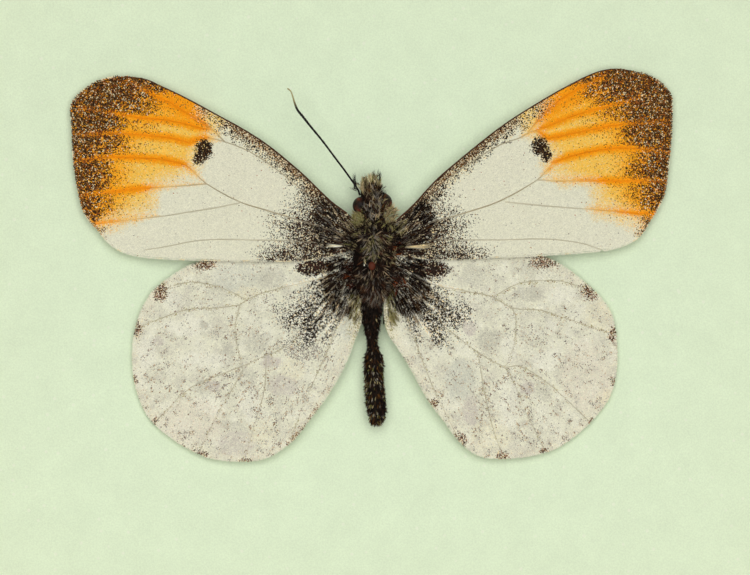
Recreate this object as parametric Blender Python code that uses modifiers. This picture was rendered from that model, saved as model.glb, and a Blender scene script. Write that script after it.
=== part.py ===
"""Framed butterfly specimen: a spread white butterfly with orange wing tips, pinned in a small box frame.

Metres, +Z up. The frame stands upright on its bottom rail and faces -Y. The origin is the middle of its base.
The insect and its pin are modelled in card space, with x to the right, y up the card and z off its face, in
millimetres from the middle of the thorax. An empty holds that space upright against the card.
"""

import math

import bmesh
import bpy

MM = 0.001

# Frame, in millimetres. The rail's profile is measured from its outer edge and from its front face.
OPENING_WIDTH = 70.0
OPENING_HEIGHT = 57.0
RAIL_WIDTH = 9.5
RAIL_DEPTH = 20.0
LIP_DEPTH = 10.0
REBATE_WIDTH = 3.0
BEAD_STEP = 0.8
BEAD_WIDTH = 2.3
BEAD_SLOPE = 1.6
BEAD_NOSE = 0.2
FRONT_ROUND = 1.5
STEP_ROUND = 0.4
BACK_ROUND = 0.6
OUTER_WIDTH = OPENING_WIDTH + 2 * RAIL_WIDTH
OUTER_HEIGHT = OPENING_HEIGHT + 2 * RAIL_WIDTH
FRAME_CENTRE_Z = OUTER_HEIGHT / 2

# Gaps between pieces that meet: at the mitres, and between the layers behind the lip
MITRE_GAP = 0.05
LAYER_GAP = 0.1
EDGE_GAP = 0.3

# Layers behind the lip, front to back
CARD_THICKNESS = 1.0
BOARD_THICKNESS = 4.5
PANEL_THICKNESS = 2.0
CARD_FRONT_Y = LAYER_GAP
BOARD_FRONT_Y = CARD_FRONT_Y + CARD_THICKNESS + LAYER_GAP
PANEL_FRONT_Y = BOARD_FRONT_Y + BOARD_THICKNESS + LAYER_GAP
POINT_FRONT_Y = PANEL_FRONT_Y + PANEL_THICKNESS + LAYER_GAP
RAIL_FRONT_Y = -LIP_DEPTH
RAIL_BACK_Y = RAIL_FRONT_Y + RAIL_DEPTH

# Flat steel points that hold the panel in
POINT_WIDTH = 4.0
POINT_THICKNESS = 0.5
POINT_IN_WOOD = 2.5
POINT_OVER_PANEL = 4.5
POINT_SPACING = 44.0

# Sawtooth hanger on the back of the top rail, and its nails
HANGER_WIDTH = 30.0
HANGER_HEIGHT = 4.6
HANGER_THICKNESS = 0.5
HANGER_RAISE = 0.9
RAISED_TO = 7.3
FLAT_FROM = 10.4
HANGER_END_ROUND = 1.5
HANGER_DROP = 3.5
HANGER_NAIL_SPACING = 25.0
TOOTH_COUNT = 7
TOOTH_PITCH = 2.0
TOOTH_DEPTH = 1.0
NAIL_RADIUS = 0.45
NAIL_HEAD_RADIUS = 1.05
NAIL_HEAD_HEIGHT = 0.5
NAIL_LENGTH = 5.0
NAIL_POINT = 1.0

# Pin through the thorax
PIN_X = -0.08
PIN_Y = -0.83
PIN_RADIUS = 0.2
PIN_HEAD_RADIUS = 0.3
PIN_HEAD_Z = 3.85
PIN_TIP_Z = -5.2
PIN_TAPER = 1.2
HOLE_CLEARANCE = 0.1

# Body, in card space: middle and half sizes
SPECIMEN_X = -0.15
SPECIMEN_ABOVE_CENTRE = 2.44
THORAX_MIDDLE = (0.08, -0.45, 2.2)
THORAX_HALF = (1.55, 2.93, 1.3)
BODY_CLEARANCE = 0.12
HEAD_MIDDLE = (-0.05, 3.55, 2.25)
HEAD_HALF = (0.95, 0.92, 0.85)
EYES = (((-0.83, 3.68, 2.25), 0.7), ((0.68, 3.9, 2.25), 0.76))
PALP_ROOTS_X = (-0.6, 0.0)
PALP_ROOT_Y = 4.0
PALP_TIP_Y = 6.1
PALP_TIP_SPREAD = 0.12
PALP_RADIUS = 0.42
PALP_TIP_RADIUS = 0.16

# Abdomen: x, y, z and radius of its sections, with the shrunken waist in the middle
ABDOMEN = (
    (-0.08, -2.4, 1.95, 0.72),
    (-0.08, -3.4, 1.8, 0.75),
    (-0.1, -4.3, 1.6, 0.7),
    (-0.1, -5.25, 1.4, 0.55),
    (-0.07, -6.0, 1.25, 0.38),
    (-0.04, -6.6, 1.2, 0.28),
    (0.0, -7.05, 1.15, 0.38),
    (0.04, -7.6, 1.15, 0.64),
    (0.04, -8.6, 1.15, 0.7),
    (0.1, -9.4, 1.15, 0.64),
    (0.15, -10.1, 1.1, 0.7),
    (0.22, -11.0, 1.1, 0.71),
    (0.3, -11.8, 1.1, 0.62),
    (0.27, -12.4, 1.1, 0.38),
    (0.22, -12.68, 1.1, 0.15),
)

# The one antenna: x, y, z and radius, from the head to its hooked tip
ANTENNA = (
    (-0.98, 4.45, 2.8, 0.075),
    (-1.13, 4.88, 2.85, 0.07),
    (-1.95, 6.08, 2.95, 0.07),
    (-2.85, 7.28, 3.0, 0.07),
    (-3.75, 8.48, 3.0, 0.075),
    (-4.73, 9.68, 2.95, 0.09),
    (-5.2, 10.28, 2.9, 0.11),
    (-5.65, 10.85, 2.85, 0.1),
    (-5.9, 11.48, 2.8, 0.075),
    (-6.02, 11.9, 2.8, 0.06),
    (-6.15, 12.23, 2.8, 0.055),
    (-6.4, 12.45, 2.8, 0.06),
)

# Legs of the right side, folded under the thorax: x, y, z and radius. The left side mirrors them.
LEGS = {
    "fore": (
        (0.35, 1.0, 0.7, 0.12),
        (0.95, 2.0, 0.6, 0.11),
        (0.55, 3.1, 0.5, 0.08),
        (0.35, 4.2, 0.4, 0.06),
        (0.3, 4.9, 0.36, 0.05),
    ),
    "mid": (
        (0.5, -0.3, 0.68, 0.12),
        (1.5, 0.5, 0.58, 0.11),
        (1.75, -0.9, 0.5, 0.08),
        (1.6, -2.2, 0.4, 0.06),
        (1.5, -2.9, 0.36, 0.05),
    ),
    "hind": (
        (0.45, -1.6, 0.65, 0.12),
        (1.1, -1.4, 0.56, 0.11),
        (1.15, -2.8, 0.48, 0.08),
        (0.9, -4.2, 0.4, 0.06),
        (0.8, -5.2, 0.36, 0.05),
    ),
}

# Wings: how high the middle line stands off the card, and how far each falls outward and tailward
WING_THICKNESS = 0.15
FOREWING_RISE = 2.3
FOREWING_FALL_OUT = 0.07
HINDWING_RISE = 1.85
HINDWING_FALL_OUT = 0.065
HINDWING_FALL_TAIL = 0.03

# Wing outlines: outward from the body line, and up the card. The two sides of this insect differ.
FOREWING_LEFT = (
    (1.0, 2.2), (1.95, 3.1), (3.1, 3.95), (4.0, 4.8), (5.5, 6.25), (8.5, 8.65), (12.25, 10.8), (14.5, 12.0),
    (16.0, 12.7), (17.0, 13.15), (18.6, 13.4), (20.5, 13.05), (21.75, 12.3), (22.6, 11.25), (22.55, 9.75),
    (22.45, 7.5), (22.2, 5.5), (21.75, 3.5), (21.2, 2.55), (20.6, 1.95), (19.9, 1.05), (19.1, 0.45),
    (18.2, 0.1), (16.7, -0.15), (13.7, -0.3), (8.5, -0.4), (5.4, -0.4), (3.5, -0.1), (1.95, 0.3), (1.0, 0.6),
)
FOREWING_RIGHT = (
    (1.0, 1.9), (1.8, 2.6), (3.1, 3.8), (4.65, 5.5), (6.9, 7.45), (9.9, 9.8), (12.9, 11.7), (15.15, 12.95),
    (16.8, 13.7), (18.2, 13.95), (19.65, 13.75), (21.15, 13.2), (22.2, 12.2), (22.4, 11.4), (22.3, 8.6),
    (22.05, 6.2), (21.75, 4.4), (20.85, 2.8), (19.95, 1.45), (18.9, 0.8), (17.4, 0.4), (14.4, 0.15),
    (12.1, 0.0), (9.5, -0.1), (6.0, -0.3), (3.6, -0.2), (1.8, 0.1), (1.0, 0.4),
)
HINDWING_LEFT = (
    (1.0, 0.5), (4.5, 0.6), (9.0, 0.3), (11.85, -0.35), (13.6, -0.8), (15.0, -1.6), (16.4, -2.7),
    (17.1, -3.75), (17.65, -5.1), (17.95, -6.6), (17.95, -8.6), (17.6, -10.4), (16.75, -12.2), (15.2, -13.6),
    (13.6, -14.6), (12.1, -15.2), (9.85, -15.4), (8.0, -15.15), (6.1, -13.9), (4.9, -12.4), (3.55, -10.6),
    (2.3, -8.5), (1.5, -6.5), (1.0, -5.1), (0.9, -3.0), (1.0, -1.0),
)
HINDWING_RIGHT = (
    (1.0, 0.5), (4.5, 0.6), (9.0, 0.4), (11.8, 0.1), (13.8, -0.65), (15.5, -1.85), (16.85, -3.05),
    (17.85, -4.5), (18.2, -6.4), (18.2, -8.6), (17.8, -10.4), (16.9, -11.8), (15.5, -13.2), (13.8, -14.4),
    (11.8, -15.0), (9.5, -15.2), (7.9, -14.95), (6.5, -13.9), (5.4, -12.4), (4.25, -10.9), (2.9, -8.5),
    (1.9, -6.9), (1.1, -5.6), (0.9, -3.5), (1.0, -1.0),
)

# Fineness of curves
OUTLINE_STEPS = 3
ARC_STEPS = 4
ROUND_STEPS = 16
WELD_DISTANCE = 0.001


def clear_scene():
    for obj in list(bpy.data.objects):
        bpy.data.objects.remove(obj, do_unlink=True)


def new_collection(name):
    collection = bpy.data.collections.new(name)
    bpy.context.scene.collection.children.link(collection)
    return collection


def srgb(red, green, blue):
    """A colour read as 0 to 255, as the linear value that a material takes."""
    return tuple((value / 255) ** 2.2 for value in (red, green, blue)) + (1.0,)


def finish(name, colour, roughness, metallic=0.0):
    material = bpy.data.materials.new(name)
    material.use_nodes = True
    principled = material.node_tree.nodes["Principled BSDF"]
    principled.inputs["Base Color"].default_value = colour
    principled.inputs["Roughness"].default_value = roughness
    principled.inputs["Metallic"].default_value = metallic
    material.diffuse_color = colour
    return material


def add_object(name, mesh, material, collection, parent=None):
    obj = bpy.data.objects.new(name, mesh)
    collection.objects.link(obj)
    if material:
        mesh.materials.clear()
        mesh.materials.append(material)
    obj.parent = parent
    return obj


def cutter(name, mesh, parent=None):
    obj = add_object(name, mesh, None, CUTTERS, parent)
    obj.hide_render = True
    obj.display_type = "WIRE"
    return obj


def cut(obj, tool, operation="DIFFERENCE"):
    modifier = obj.modifiers.new(tool.name, "BOOLEAN")
    modifier.operation = operation
    modifier.object = tool
    modifier.solver = "EXACT"


def mesh_of(curve):
    """The closed mesh of a curve, which is then removed."""
    holder = bpy.data.objects.new(curve.name, curve)
    bpy.context.scene.collection.objects.link(holder)
    graph = bpy.context.evaluated_depsgraph_get()
    mesh = bpy.data.meshes.new_from_object(holder.evaluated_get(graph))
    bpy.data.objects.remove(holder, do_unlink=True)
    return closed(mesh)


def closed(mesh):
    """The mesh with its loose seams welded and its faces pointing out."""
    solid = bmesh.new()
    solid.from_mesh(mesh)
    bmesh.ops.remove_doubles(solid, verts=solid.verts, dist=WELD_DISTANCE * MM)
    bmesh.ops.recalc_face_normals(solid, faces=solid.faces)
    solid.to_mesh(mesh)
    solid.free()
    return mesh


def plate(name, outline, thickness):
    """A flat plate with the outline in its local XY plane and its thickness centred on z = 0."""
    curve = bpy.data.curves.new(name, "CURVE")
    curve.dimensions = "2D"
    curve.fill_mode = "BOTH"
    curve.extrude = thickness * MM / 2
    spline = curve.splines.new("POLY")
    spline.points.add(len(outline) - 1)
    spline.use_cyclic_u = True
    for point, (x, y) in zip(spline.points, outline):
        point.co = (x * MM, y * MM, 0, 1)
    return mesh_of(curve)


def tube(name, sections, sides_level):
    """A tapering tube through sections of x, y, z and radius, with its ends closed."""
    curve = bpy.data.curves.new(name, "CURVE")
    curve.dimensions = "3D"
    curve.bevel_depth = MM
    curve.bevel_resolution = sides_level
    curve.use_fill_caps = True
    spline = curve.splines.new("POLY")
    spline.points.add(len(sections) - 1)
    for point, (x, y, z, radius) in zip(spline.points, sections):
        point.co = (x * MM, y * MM, z * MM, 1)
        point.radius = radius
    mesh = mesh_of(curve)
    round_shading(mesh)
    return mesh


def ellipsoid(name, middle, half, grow=0.0):
    solid = bmesh.new()
    bmesh.ops.create_uvsphere(solid, u_segments=ROUND_STEPS + 4, v_segments=ROUND_STEPS - 4, radius=1.0)
    bmesh.ops.scale(solid, vec=[(size + grow) * MM for size in half], verts=solid.verts)
    bmesh.ops.translate(solid, vec=[place * MM for place in middle], verts=solid.verts)
    mesh = bpy.data.meshes.new(name)
    solid.to_mesh(mesh)
    solid.free()
    round_shading(mesh)
    return mesh


def cylinder(name, x, y, low, high, radius):
    solid = bmesh.new()
    bmesh.ops.create_cone(
        solid,
        cap_ends=True,
        segments=ROUND_STEPS,
        radius1=radius * MM,
        radius2=radius * MM,
        depth=(high - low) * MM,
    )
    bmesh.ops.translate(solid, vec=(x * MM, y * MM, (low + high) / 2 * MM), verts=solid.verts)
    mesh = bpy.data.meshes.new(name)
    solid.to_mesh(mesh)
    solid.free()
    return mesh


def box(name, low, high):
    solid = bmesh.new()
    bmesh.ops.create_cube(solid, size=1.0)
    bmesh.ops.scale(solid, vec=[(b - a) * MM for a, b in zip(low, high)], verts=solid.verts)
    bmesh.ops.translate(solid, vec=[(a + b) / 2 * MM for a, b in zip(low, high)], verts=solid.verts)
    mesh = bpy.data.meshes.new(name)
    solid.to_mesh(mesh)
    solid.free()
    return mesh


def round_shading(mesh):
    mesh.shade_smooth()
    mesh.set_sharp_from_angle(angle=math.radians(40))


def turned(name, profile, material, collection, parent=None):
    """A turned piece about local z, from an outer profile of (radius, z) that runs from top to bottom."""
    mesh = bpy.data.meshes.new(name)
    points = [(radius * MM, 0.0, z * MM) for radius, z in profile]
    mesh.from_pydata(points, [(i, i + 1) for i in range(len(points) - 1)], [])
    obj = add_object(name, mesh, material, collection, parent)
    screw = obj.modifiers.new("Turned", "SCREW")
    screw.steps = ROUND_STEPS
    screw.render_steps = ROUND_STEPS
    screw.use_smooth_shade = True
    screw.use_merge_vertices = True
    screw.merge_threshold = 0.00001
    return obj


def arc(middle_x, middle_y, radius, start, end, steps):
    """Points of an arc, with its angles in degrees."""
    angles = [math.radians(start + (end - start) * i / steps) for i in range(steps + 1)]
    return [(middle_x + radius * math.cos(a), middle_y + radius * math.sin(a)) for a in angles]


def tangent(before, after, chord):
    """The direction of a smooth line between two neighbours of a point, as long as the chord beside it."""
    along = [a - b for a, b in zip(after, before)]
    length = math.hypot(*along) or 1.0
    return [value / length * chord for value in along]


def between(before, start, end, after, steps):
    """Points from start up to end on a smooth line that passes through all four."""
    chord = math.dist(start, end)
    leaving = tangent(before, end, chord)
    arriving = tangent(start, after, chord)
    points = []
    for i in range(steps):
        t = i / steps
        weights = (
            2 * t**3 - 3 * t**2 + 1,
            t**3 - 2 * t**2 + t,
            3 * t**2 - 2 * t**3,
            t**3 - t**2,
        )
        sources = zip(start, leaving, end, arriving)
        points.append(tuple(sum(w * s for w, s in zip(weights, values)) for values in sources))
    return points


def smooth_loop(points, steps):
    count = len(points)
    loop = []
    for i in range(count):
        loop += between(points[i - 1], points[i], points[(i + 1) % count], points[(i + 2) % count], steps)
    return loop


def smooth_path(points, steps):
    path = []
    for i in range(len(points) - 1):
        before = points[max(i - 1, 0)]
        after = points[min(i + 2, len(points) - 1)]
        path += between(before, points[i], points[i + 1], after, steps)
    return path + [points[-1]]


def rail_profile():
    """The rail's section: distance from its outer edge, and depth from its front face."""
    sight = RAIL_WIDTH
    bead = RAIL_WIDTH - BEAD_WIDTH
    rebate = RAIL_WIDTH - REBATE_WIDTH
    sight_depth = BEAD_STEP + BEAD_SLOPE
    profile = arc(FRONT_ROUND, FRONT_ROUND, FRONT_ROUND, 180, 270, ARC_STEPS)
    profile += arc(bead - STEP_ROUND, STEP_ROUND, STEP_ROUND, 270, 360, ARC_STEPS)
    profile += [(bead, BEAD_STEP), (sight - BEAD_NOSE, sight_depth - BEAD_NOSE * BEAD_SLOPE / BEAD_WIDTH)]
    profile += [(sight, sight_depth + BEAD_NOSE), (sight, LIP_DEPTH)]
    profile += [(rebate, LIP_DEPTH), (rebate, RAIL_DEPTH)]
    profile += arc(BACK_ROUND, RAIL_DEPTH - BACK_ROUND, BACK_ROUND, 90, 180, ARC_STEPS)
    return profile


def add_rail(side, turn, length, reach):
    """A rail at the frame's bottom, mitred at both ends, then turned about the frame's middle to its side."""
    mesh = plate("rail_" + side, rail_profile(), length)
    for vertex in mesh.vertices:
        across, depth, along = vertex.co
        half = length * MM / 2 - across - MITRE_GAP * MM
        vertex.co = (
            math.copysign(half, along),
            RAIL_FRONT_Y * MM + depth,
            across - reach * MM,
        )
    obj = add_object("rail_" + side, closed(mesh), WOOD, FRAME)
    obj.location.z = FRAME_CENTRE_Z * MM
    obj.rotation_euler.y = math.radians(turn)
    return obj


def layer_box(name, front_y, thickness, material):
    """A flat sheet that fills the rebate, at its place in the frame."""
    half_width = OPENING_WIDTH / 2 + REBATE_WIDTH - EDGE_GAP
    half_height = OPENING_HEIGHT / 2 + REBATE_WIDTH - EDGE_GAP
    mesh = box(
        name,
        (-half_width, front_y, FRAME_CENTRE_Z - half_height),
        (half_width, front_y + thickness, FRAME_CENTRE_Z + half_height),
    )
    return add_object(name, mesh, material, FRAME)


def add_retaining_point(number, rail, along, turn, reach):
    """A flat point that lies on the panel and enters the rail's rebate wall, with the slot that it fills."""
    half = POINT_WIDTH / 2
    shoulder = POINT_IN_WOOD / 2
    outline = [
        (-half, -POINT_OVER_PANEL),
        (half, -POINT_OVER_PANEL),
        (half, shoulder),
        (0.0, POINT_IN_WOOD),
        (-half, shoulder),
    ]
    name = f"retaining_point_{number}"
    slot_low = (-half - HOLE_CLEARANCE, -LAYER_GAP, -POINT_THICKNESS / 2 - HOLE_CLEARANCE)
    slot_high = (half + HOLE_CLEARANCE, POINT_IN_WOOD + EDGE_GAP, POINT_THICKNESS / 2 + HOLE_CLEARANCE)
    place = bpy.data.objects.new(name + "_place", None)
    FRAME.objects.link(place)
    place.location = (0, (POINT_FRONT_Y + POINT_THICKNESS / 2) * MM, FRAME_CENTRE_Z * MM)
    place.rotation_euler.y = math.radians(turn)
    wall = reach - (RAIL_WIDTH - REBATE_WIDTH)
    for obj in (
        add_object(name, plate(name, outline, POINT_THICKNESS), STEEL, FRAME, place),
        cutter(name + "_slot", box(name + "_slot", slot_low, slot_high), place),
    ):
        obj.location = (along * MM, 0, -wall * MM)
        obj.rotation_euler.x = math.radians(-90)
    cut(rail, bpy.data.objects[name + "_slot"])


def hanger_outline():
    """The hanger seen from behind, with its teeth along the lower edge."""
    half_width = HANGER_WIDTH / 2
    half_height = HANGER_HEIGHT / 2
    end = HANGER_END_ROUND
    outline = arc(-half_width + end, half_height - end, end, 180, 90, ARC_STEPS)
    outline += arc(half_width - end, half_height - end, end, 90, 0, ARC_STEPS)
    outline += arc(half_width - end, end - half_height, end, 0, -90, ARC_STEPS)
    first = (TOOTH_COUNT - 1) / 2 * TOOTH_PITCH
    for i in range(TOOTH_COUNT):
        middle = first - i * TOOTH_PITCH
        outline.append((middle + TOOTH_PITCH / 2, -half_height))
        outline.append((middle, TOOTH_DEPTH - half_height))
    outline.append((-first - TOOTH_PITCH / 2, -half_height))
    outline += arc(end - half_width, end - half_height, end, -90, -180, ARC_STEPS)
    return outline


def add_hanger(rail):
    """The hanger lies flat on the rail at its ends, and stands off it in the middle to take a hook."""
    mesh = plate("sawtooth_hanger", hanger_outline(), HANGER_THICKNESS)
    solid = bmesh.new()
    solid.from_mesh(mesh)
    for fold in (-FLAT_FROM, -RAISED_TO, RAISED_TO, FLAT_FROM):
        every_part = solid.verts[:] + solid.edges[:] + solid.faces[:]
        bmesh.ops.bisect_plane(solid, geom=every_part, plane_co=(fold * MM, 0, 0), plane_no=(1, 0, 0))
    for vertex in solid.verts:
        share = min(max((abs(vertex.co.x) / MM - RAISED_TO) / (FLAT_FROM - RAISED_TO), 0.0), 1.0)
        vertex.co.z += HANGER_RAISE * MM * (1 - share)
    solid.to_mesh(mesh)
    solid.free()
    hanger = add_object("sawtooth_hanger", mesh, ZINC, FRAME)
    hanger.location = (
        0,
        (RAIL_BACK_Y + LAYER_GAP + HANGER_THICKNESS / 2) * MM,
        (OUTER_HEIGHT - HANGER_DROP) * MM,
    )
    hanger.rotation_euler = (math.radians(90), 0, math.radians(180))
    seat = RAIL_BACK_Y + HANGER_THICKNESS + 2 * LAYER_GAP
    for side, sign in (("left", -1), ("right", 1)):
        name = "hanger_nail_" + side
        head = [(0.0, NAIL_HEAD_HEIGHT), (NAIL_HEAD_RADIUS * 0.6, NAIL_HEAD_HEIGHT * 0.8)]
        head += [(NAIL_HEAD_RADIUS, NAIL_HEAD_HEIGHT * 0.3), (NAIL_HEAD_RADIUS, 0.0), (NAIL_RADIUS, 0.0)]
        tip = [(NAIL_RADIUS, NAIL_POINT - NAIL_LENGTH), (0.0, -NAIL_LENGTH)]
        nail = turned(name, head + tip, ZINC, FRAME)
        bottom = -NAIL_LENGTH - EDGE_GAP
        hole = cutter(name + "_hole", cylinder(name, 0, 0, bottom, EDGE_GAP, NAIL_RADIUS + HOLE_CLEARANCE))
        for obj in (nail, hole):
            obj.location = (
                sign * HANGER_NAIL_SPACING / 2 * MM,
                seat * MM,
                (OUTER_HEIGHT - HANGER_DROP) * MM,
            )
            obj.rotation_euler = (math.radians(90), 0, math.radians(180))
        cut(rail, hole)
        cut(hanger, hole)


def add_pin(card, board):
    """The pin, and the holes that it needs in the card and the board."""
    ball = arc(0.0, PIN_HEAD_Z, PIN_HEAD_RADIUS, 90, -45, 2 * ARC_STEPS)
    shaft = [(PIN_RADIUS, PIN_TIP_Z + PIN_TAPER), (0.0, PIN_TIP_Z)]
    pin = turned("insect_pin", ball + shaft, PIN_METAL, SPECIMEN, SPACE)
    pin.location = (PIN_X * MM, PIN_Y * MM, 0)
    bottom = PIN_TIP_Z - EDGE_GAP
    top = PIN_HEAD_Z + 2 * PIN_HEAD_RADIUS
    radius = PIN_RADIUS + HOLE_CLEARANCE
    hole = cutter("pin_hole", cylinder("pin_hole", PIN_X, PIN_Y, bottom, top, radius), SPACE)
    for sheet in (card, board):
        cut(sheet, hole)
    return hole


def add_body(pin_hole):
    """Thorax, head and abdomen. The cutters are the thorax and abdomen grown by their clearance."""
    thorax = add_object("thorax", ellipsoid("thorax", THORAX_MIDDLE, THORAX_HALF), FUR, SPECIMEN, SPACE)
    cut(thorax, pin_hole)
    around_thorax = cutter(
        "around_thorax", ellipsoid("around_thorax", THORAX_MIDDLE, THORAX_HALF, BODY_CLEARANCE), SPACE
    )
    abdomen = add_object("abdomen", tube("abdomen", smooth_path(ABDOMEN, 2), 4), DARK_FUR, SPECIMEN, SPACE)
    cut(abdomen, around_thorax)
    grown = [(x, y, z, radius + BODY_CLEARANCE) for x, y, z, radius in ABDOMEN]
    around_abdomen = cutter("around_abdomen", tube("around_abdomen", smooth_path(grown, 2), 4), SPACE)
    add_head()
    return around_thorax, around_abdomen


def add_head():
    """The head, with its eyes and its two palps joined to it."""
    head = add_object("head", ellipsoid("head", HEAD_MIDDLE, HEAD_HALF), FUR, SPECIMEN, SPACE)
    for i, (middle, radius) in enumerate(EYES):
        name = f"eye_{i}"
        cut(head, cutter(name, ellipsoid(name, middle, (radius,) * 3), SPACE), "UNION")
    for i, x in enumerate(PALP_ROOTS_X):
        name = f"palp_{i}"
        spread = math.copysign(PALP_TIP_SPREAD, i - 0.5)
        sections = (
            (x, PALP_ROOT_Y, HEAD_MIDDLE[2] - 0.1, PALP_RADIUS),
            (x, (PALP_ROOT_Y + PALP_TIP_Y) / 2, HEAD_MIDDLE[2] + 0.05, PALP_RADIUS),
            (x + spread, PALP_TIP_Y, HEAD_MIDDLE[2] + 0.2, PALP_TIP_RADIUS),
        )
        cut(head, cutter(name, tube(name, smooth_path(sections, 3), 2), SPACE), "UNION")


def add_legs():
    for pair, sections in LEGS.items():
        for side, sign in (("left", -1), ("right", 1)):
            name = f"leg_{pair}_{side}"
            placed = [(sign * x, y, z, radius) for x, y, z, radius in sections]
            add_object(name, tube(name, smooth_path(placed, 3), 1), DARK_FUR, SPECIMEN, SPACE)


def add_wing(name, outline, sign, rise, fall_out, fall_tail, body_cutters):
    """A thin plate that falls away from the body, trimmed where the body stands."""
    placed = [(sign * out, up) for out, up in smooth_loop(outline, OUTLINE_STEPS)]
    mesh = plate(name, placed, WING_THICKNESS)
    for vertex in mesh.vertices:
        tailward = max(-vertex.co.y, 0.0)
        vertex.co.z += rise * MM - fall_out * abs(vertex.co.x) - fall_tail * tailward
    wing = add_object(name, mesh, WING, SPECIMEN, SPACE)
    for tool in body_cutters:
        cut(wing, tool)


def add_frame():
    half_width = OUTER_WIDTH / 2
    half_height = OUTER_HEIGHT / 2
    bottom = add_rail("bottom", 0, OUTER_WIDTH, half_height)
    left = add_rail("left", 90, OUTER_HEIGHT, half_width)
    top = add_rail("top", 180, OUTER_WIDTH, half_height)
    right = add_rail("right", 270, OUTER_HEIGHT, half_width)
    places = (
        (bottom, -POINT_SPACING / 2, 0, half_height),
        (bottom, POINT_SPACING / 2, 0, half_height),
        (left, 0.0, 90, half_width),
        (top, -POINT_SPACING / 2, 180, half_height),
        (top, POINT_SPACING / 2, 180, half_height),
        (right, 0.0, 270, half_width),
    )
    for number, (rail, along, turn, reach) in enumerate(places, 1):
        add_retaining_point(number, rail, along, turn, reach)
    add_hanger(top)
    card = layer_box("backing_card", CARD_FRONT_Y, CARD_THICKNESS, CARD)
    board = layer_box("foam_board", BOARD_FRONT_Y, BOARD_THICKNESS, FOAM)
    layer_box("back_panel", PANEL_FRONT_Y, PANEL_THICKNESS, HARDBOARD)
    return card, board


def add_specimen(card, board):
    body_cutters = add_body(add_pin(card, board))
    antenna = tube("antenna_left", smooth_path(ANTENNA, 2), 2)
    add_object("antenna_left", antenna, DARK_FUR, SPECIMEN, SPACE)
    add_legs()
    fore = (FOREWING_RISE, FOREWING_FALL_OUT, 0.0)
    hind = (HINDWING_RISE, HINDWING_FALL_OUT, HINDWING_FALL_TAIL)
    add_wing("forewing_left", FOREWING_LEFT, -1, *fore, body_cutters)
    add_wing("forewing_right", FOREWING_RIGHT, 1, *fore, body_cutters)
    add_wing("hindwing_left", HINDWING_LEFT, -1, *hind, body_cutters)
    add_wing("hindwing_right", HINDWING_RIGHT, 1, *hind, body_cutters)


clear_scene()
FRAME = new_collection("framed_butterfly")
SPECIMEN = new_collection("butterfly")
CUTTERS = new_collection("cutters")
SPACE = bpy.data.objects.new("card_space", None)
SPECIMEN.objects.link(SPACE)
SPACE.location = (SPECIMEN_X * MM, CARD_FRONT_Y * MM, (FRAME_CENTRE_Z + SPECIMEN_ABOVE_CENTRE) * MM)
SPACE.rotation_euler.x = math.radians(90)

WOOD = finish("oak", srgb(170, 124, 78), 0.5)
CARD = finish("pale_green_card", srgb(219, 234, 202), 0.85)
FOAM = finish("white_foam", srgb(238, 238, 232), 0.9)
HARDBOARD = finish("hardboard", srgb(122, 88, 58), 0.75)
STEEL = finish("point_steel", srgb(150, 152, 155), 0.4, 1.0)
ZINC = finish("zinc_plate", srgb(188, 190, 192), 0.35, 1.0)
PIN_METAL = finish("pin_bronze", srgb(120, 66, 34), 0.35, 1.0)
FUR = finish("olive_brown_fur", srgb(74, 64, 46), 0.9)
DARK_FUR = finish("dark_fur", srgb(56, 50, 38), 0.9)
WING = finish("wing_white", srgb(216, 213, 184), 0.8)

add_specimen(*add_frame())
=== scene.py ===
"""Looks of the framed butterfly specimen: a white butterfly with orange wing tips, pinned on a pale card.

Metres, +Z up, facing -Y. The insect is laid out in card space, as in the part: x to the right, y up the card
and z off its face, in millimetres from the middle of the thorax.
"""

import math

import bpy
import numpy as np
from mathutils import Matrix, Vector


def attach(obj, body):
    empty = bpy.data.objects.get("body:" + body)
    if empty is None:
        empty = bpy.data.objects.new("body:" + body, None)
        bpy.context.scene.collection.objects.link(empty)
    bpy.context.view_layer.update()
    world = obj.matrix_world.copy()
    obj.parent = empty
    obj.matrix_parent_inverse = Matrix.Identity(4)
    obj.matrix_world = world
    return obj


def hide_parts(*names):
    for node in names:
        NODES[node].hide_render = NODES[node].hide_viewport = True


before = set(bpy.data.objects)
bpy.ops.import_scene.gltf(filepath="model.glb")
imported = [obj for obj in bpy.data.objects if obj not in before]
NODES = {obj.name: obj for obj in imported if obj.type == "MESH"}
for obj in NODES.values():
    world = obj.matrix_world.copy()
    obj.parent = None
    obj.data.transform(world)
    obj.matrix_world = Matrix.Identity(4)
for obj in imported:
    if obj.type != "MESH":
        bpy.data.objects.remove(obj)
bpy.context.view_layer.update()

MM = 0.001

# The frame, as in the part
OPENING_WIDTH = 70.0
OPENING_HEIGHT = 57.0
RAIL_WIDTH = 9.5
RAIL_DEPTH = 20.0
LIP_DEPTH = 10.0
REBATE_WIDTH = 3.0
BEAD_STEP = 0.8
BEAD_WIDTH = 2.3
BEAD_SLOPE = 1.6
BEAD_NOSE = 0.2
FRONT_ROUND = 1.5
STEP_ROUND = 0.4
BACK_ROUND = 0.6
MITRE_GAP = 0.05
OUTER_WIDTH = OPENING_WIDTH + 2 * RAIL_WIDTH
OUTER_HEIGHT = OPENING_HEIGHT + 2 * RAIL_WIDTH
FRAME_CENTRE_Z = OUTER_HEIGHT / 2
RAIL_FRONT_Y = -LIP_DEPTH

# How finely the rails are rounded, and how edges sharper than an angle in degrees are eased
ROUND_STEPS = 8
MITRE_BEVEL = 0.12
MITRE_BEVEL_FROM = 35

# Card space in the frame, and how the picture lies on it: its scale, and the place of the thorax's middle
CARD_FRONT_Y = 0.1
SPECIMEN_X = -0.15
SPECIMEN_ABOVE_CENTRE = 2.44
MM_PER_SEEN = 0.075
MIDDLE_SEEN = (373.0, 255.0)

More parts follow.
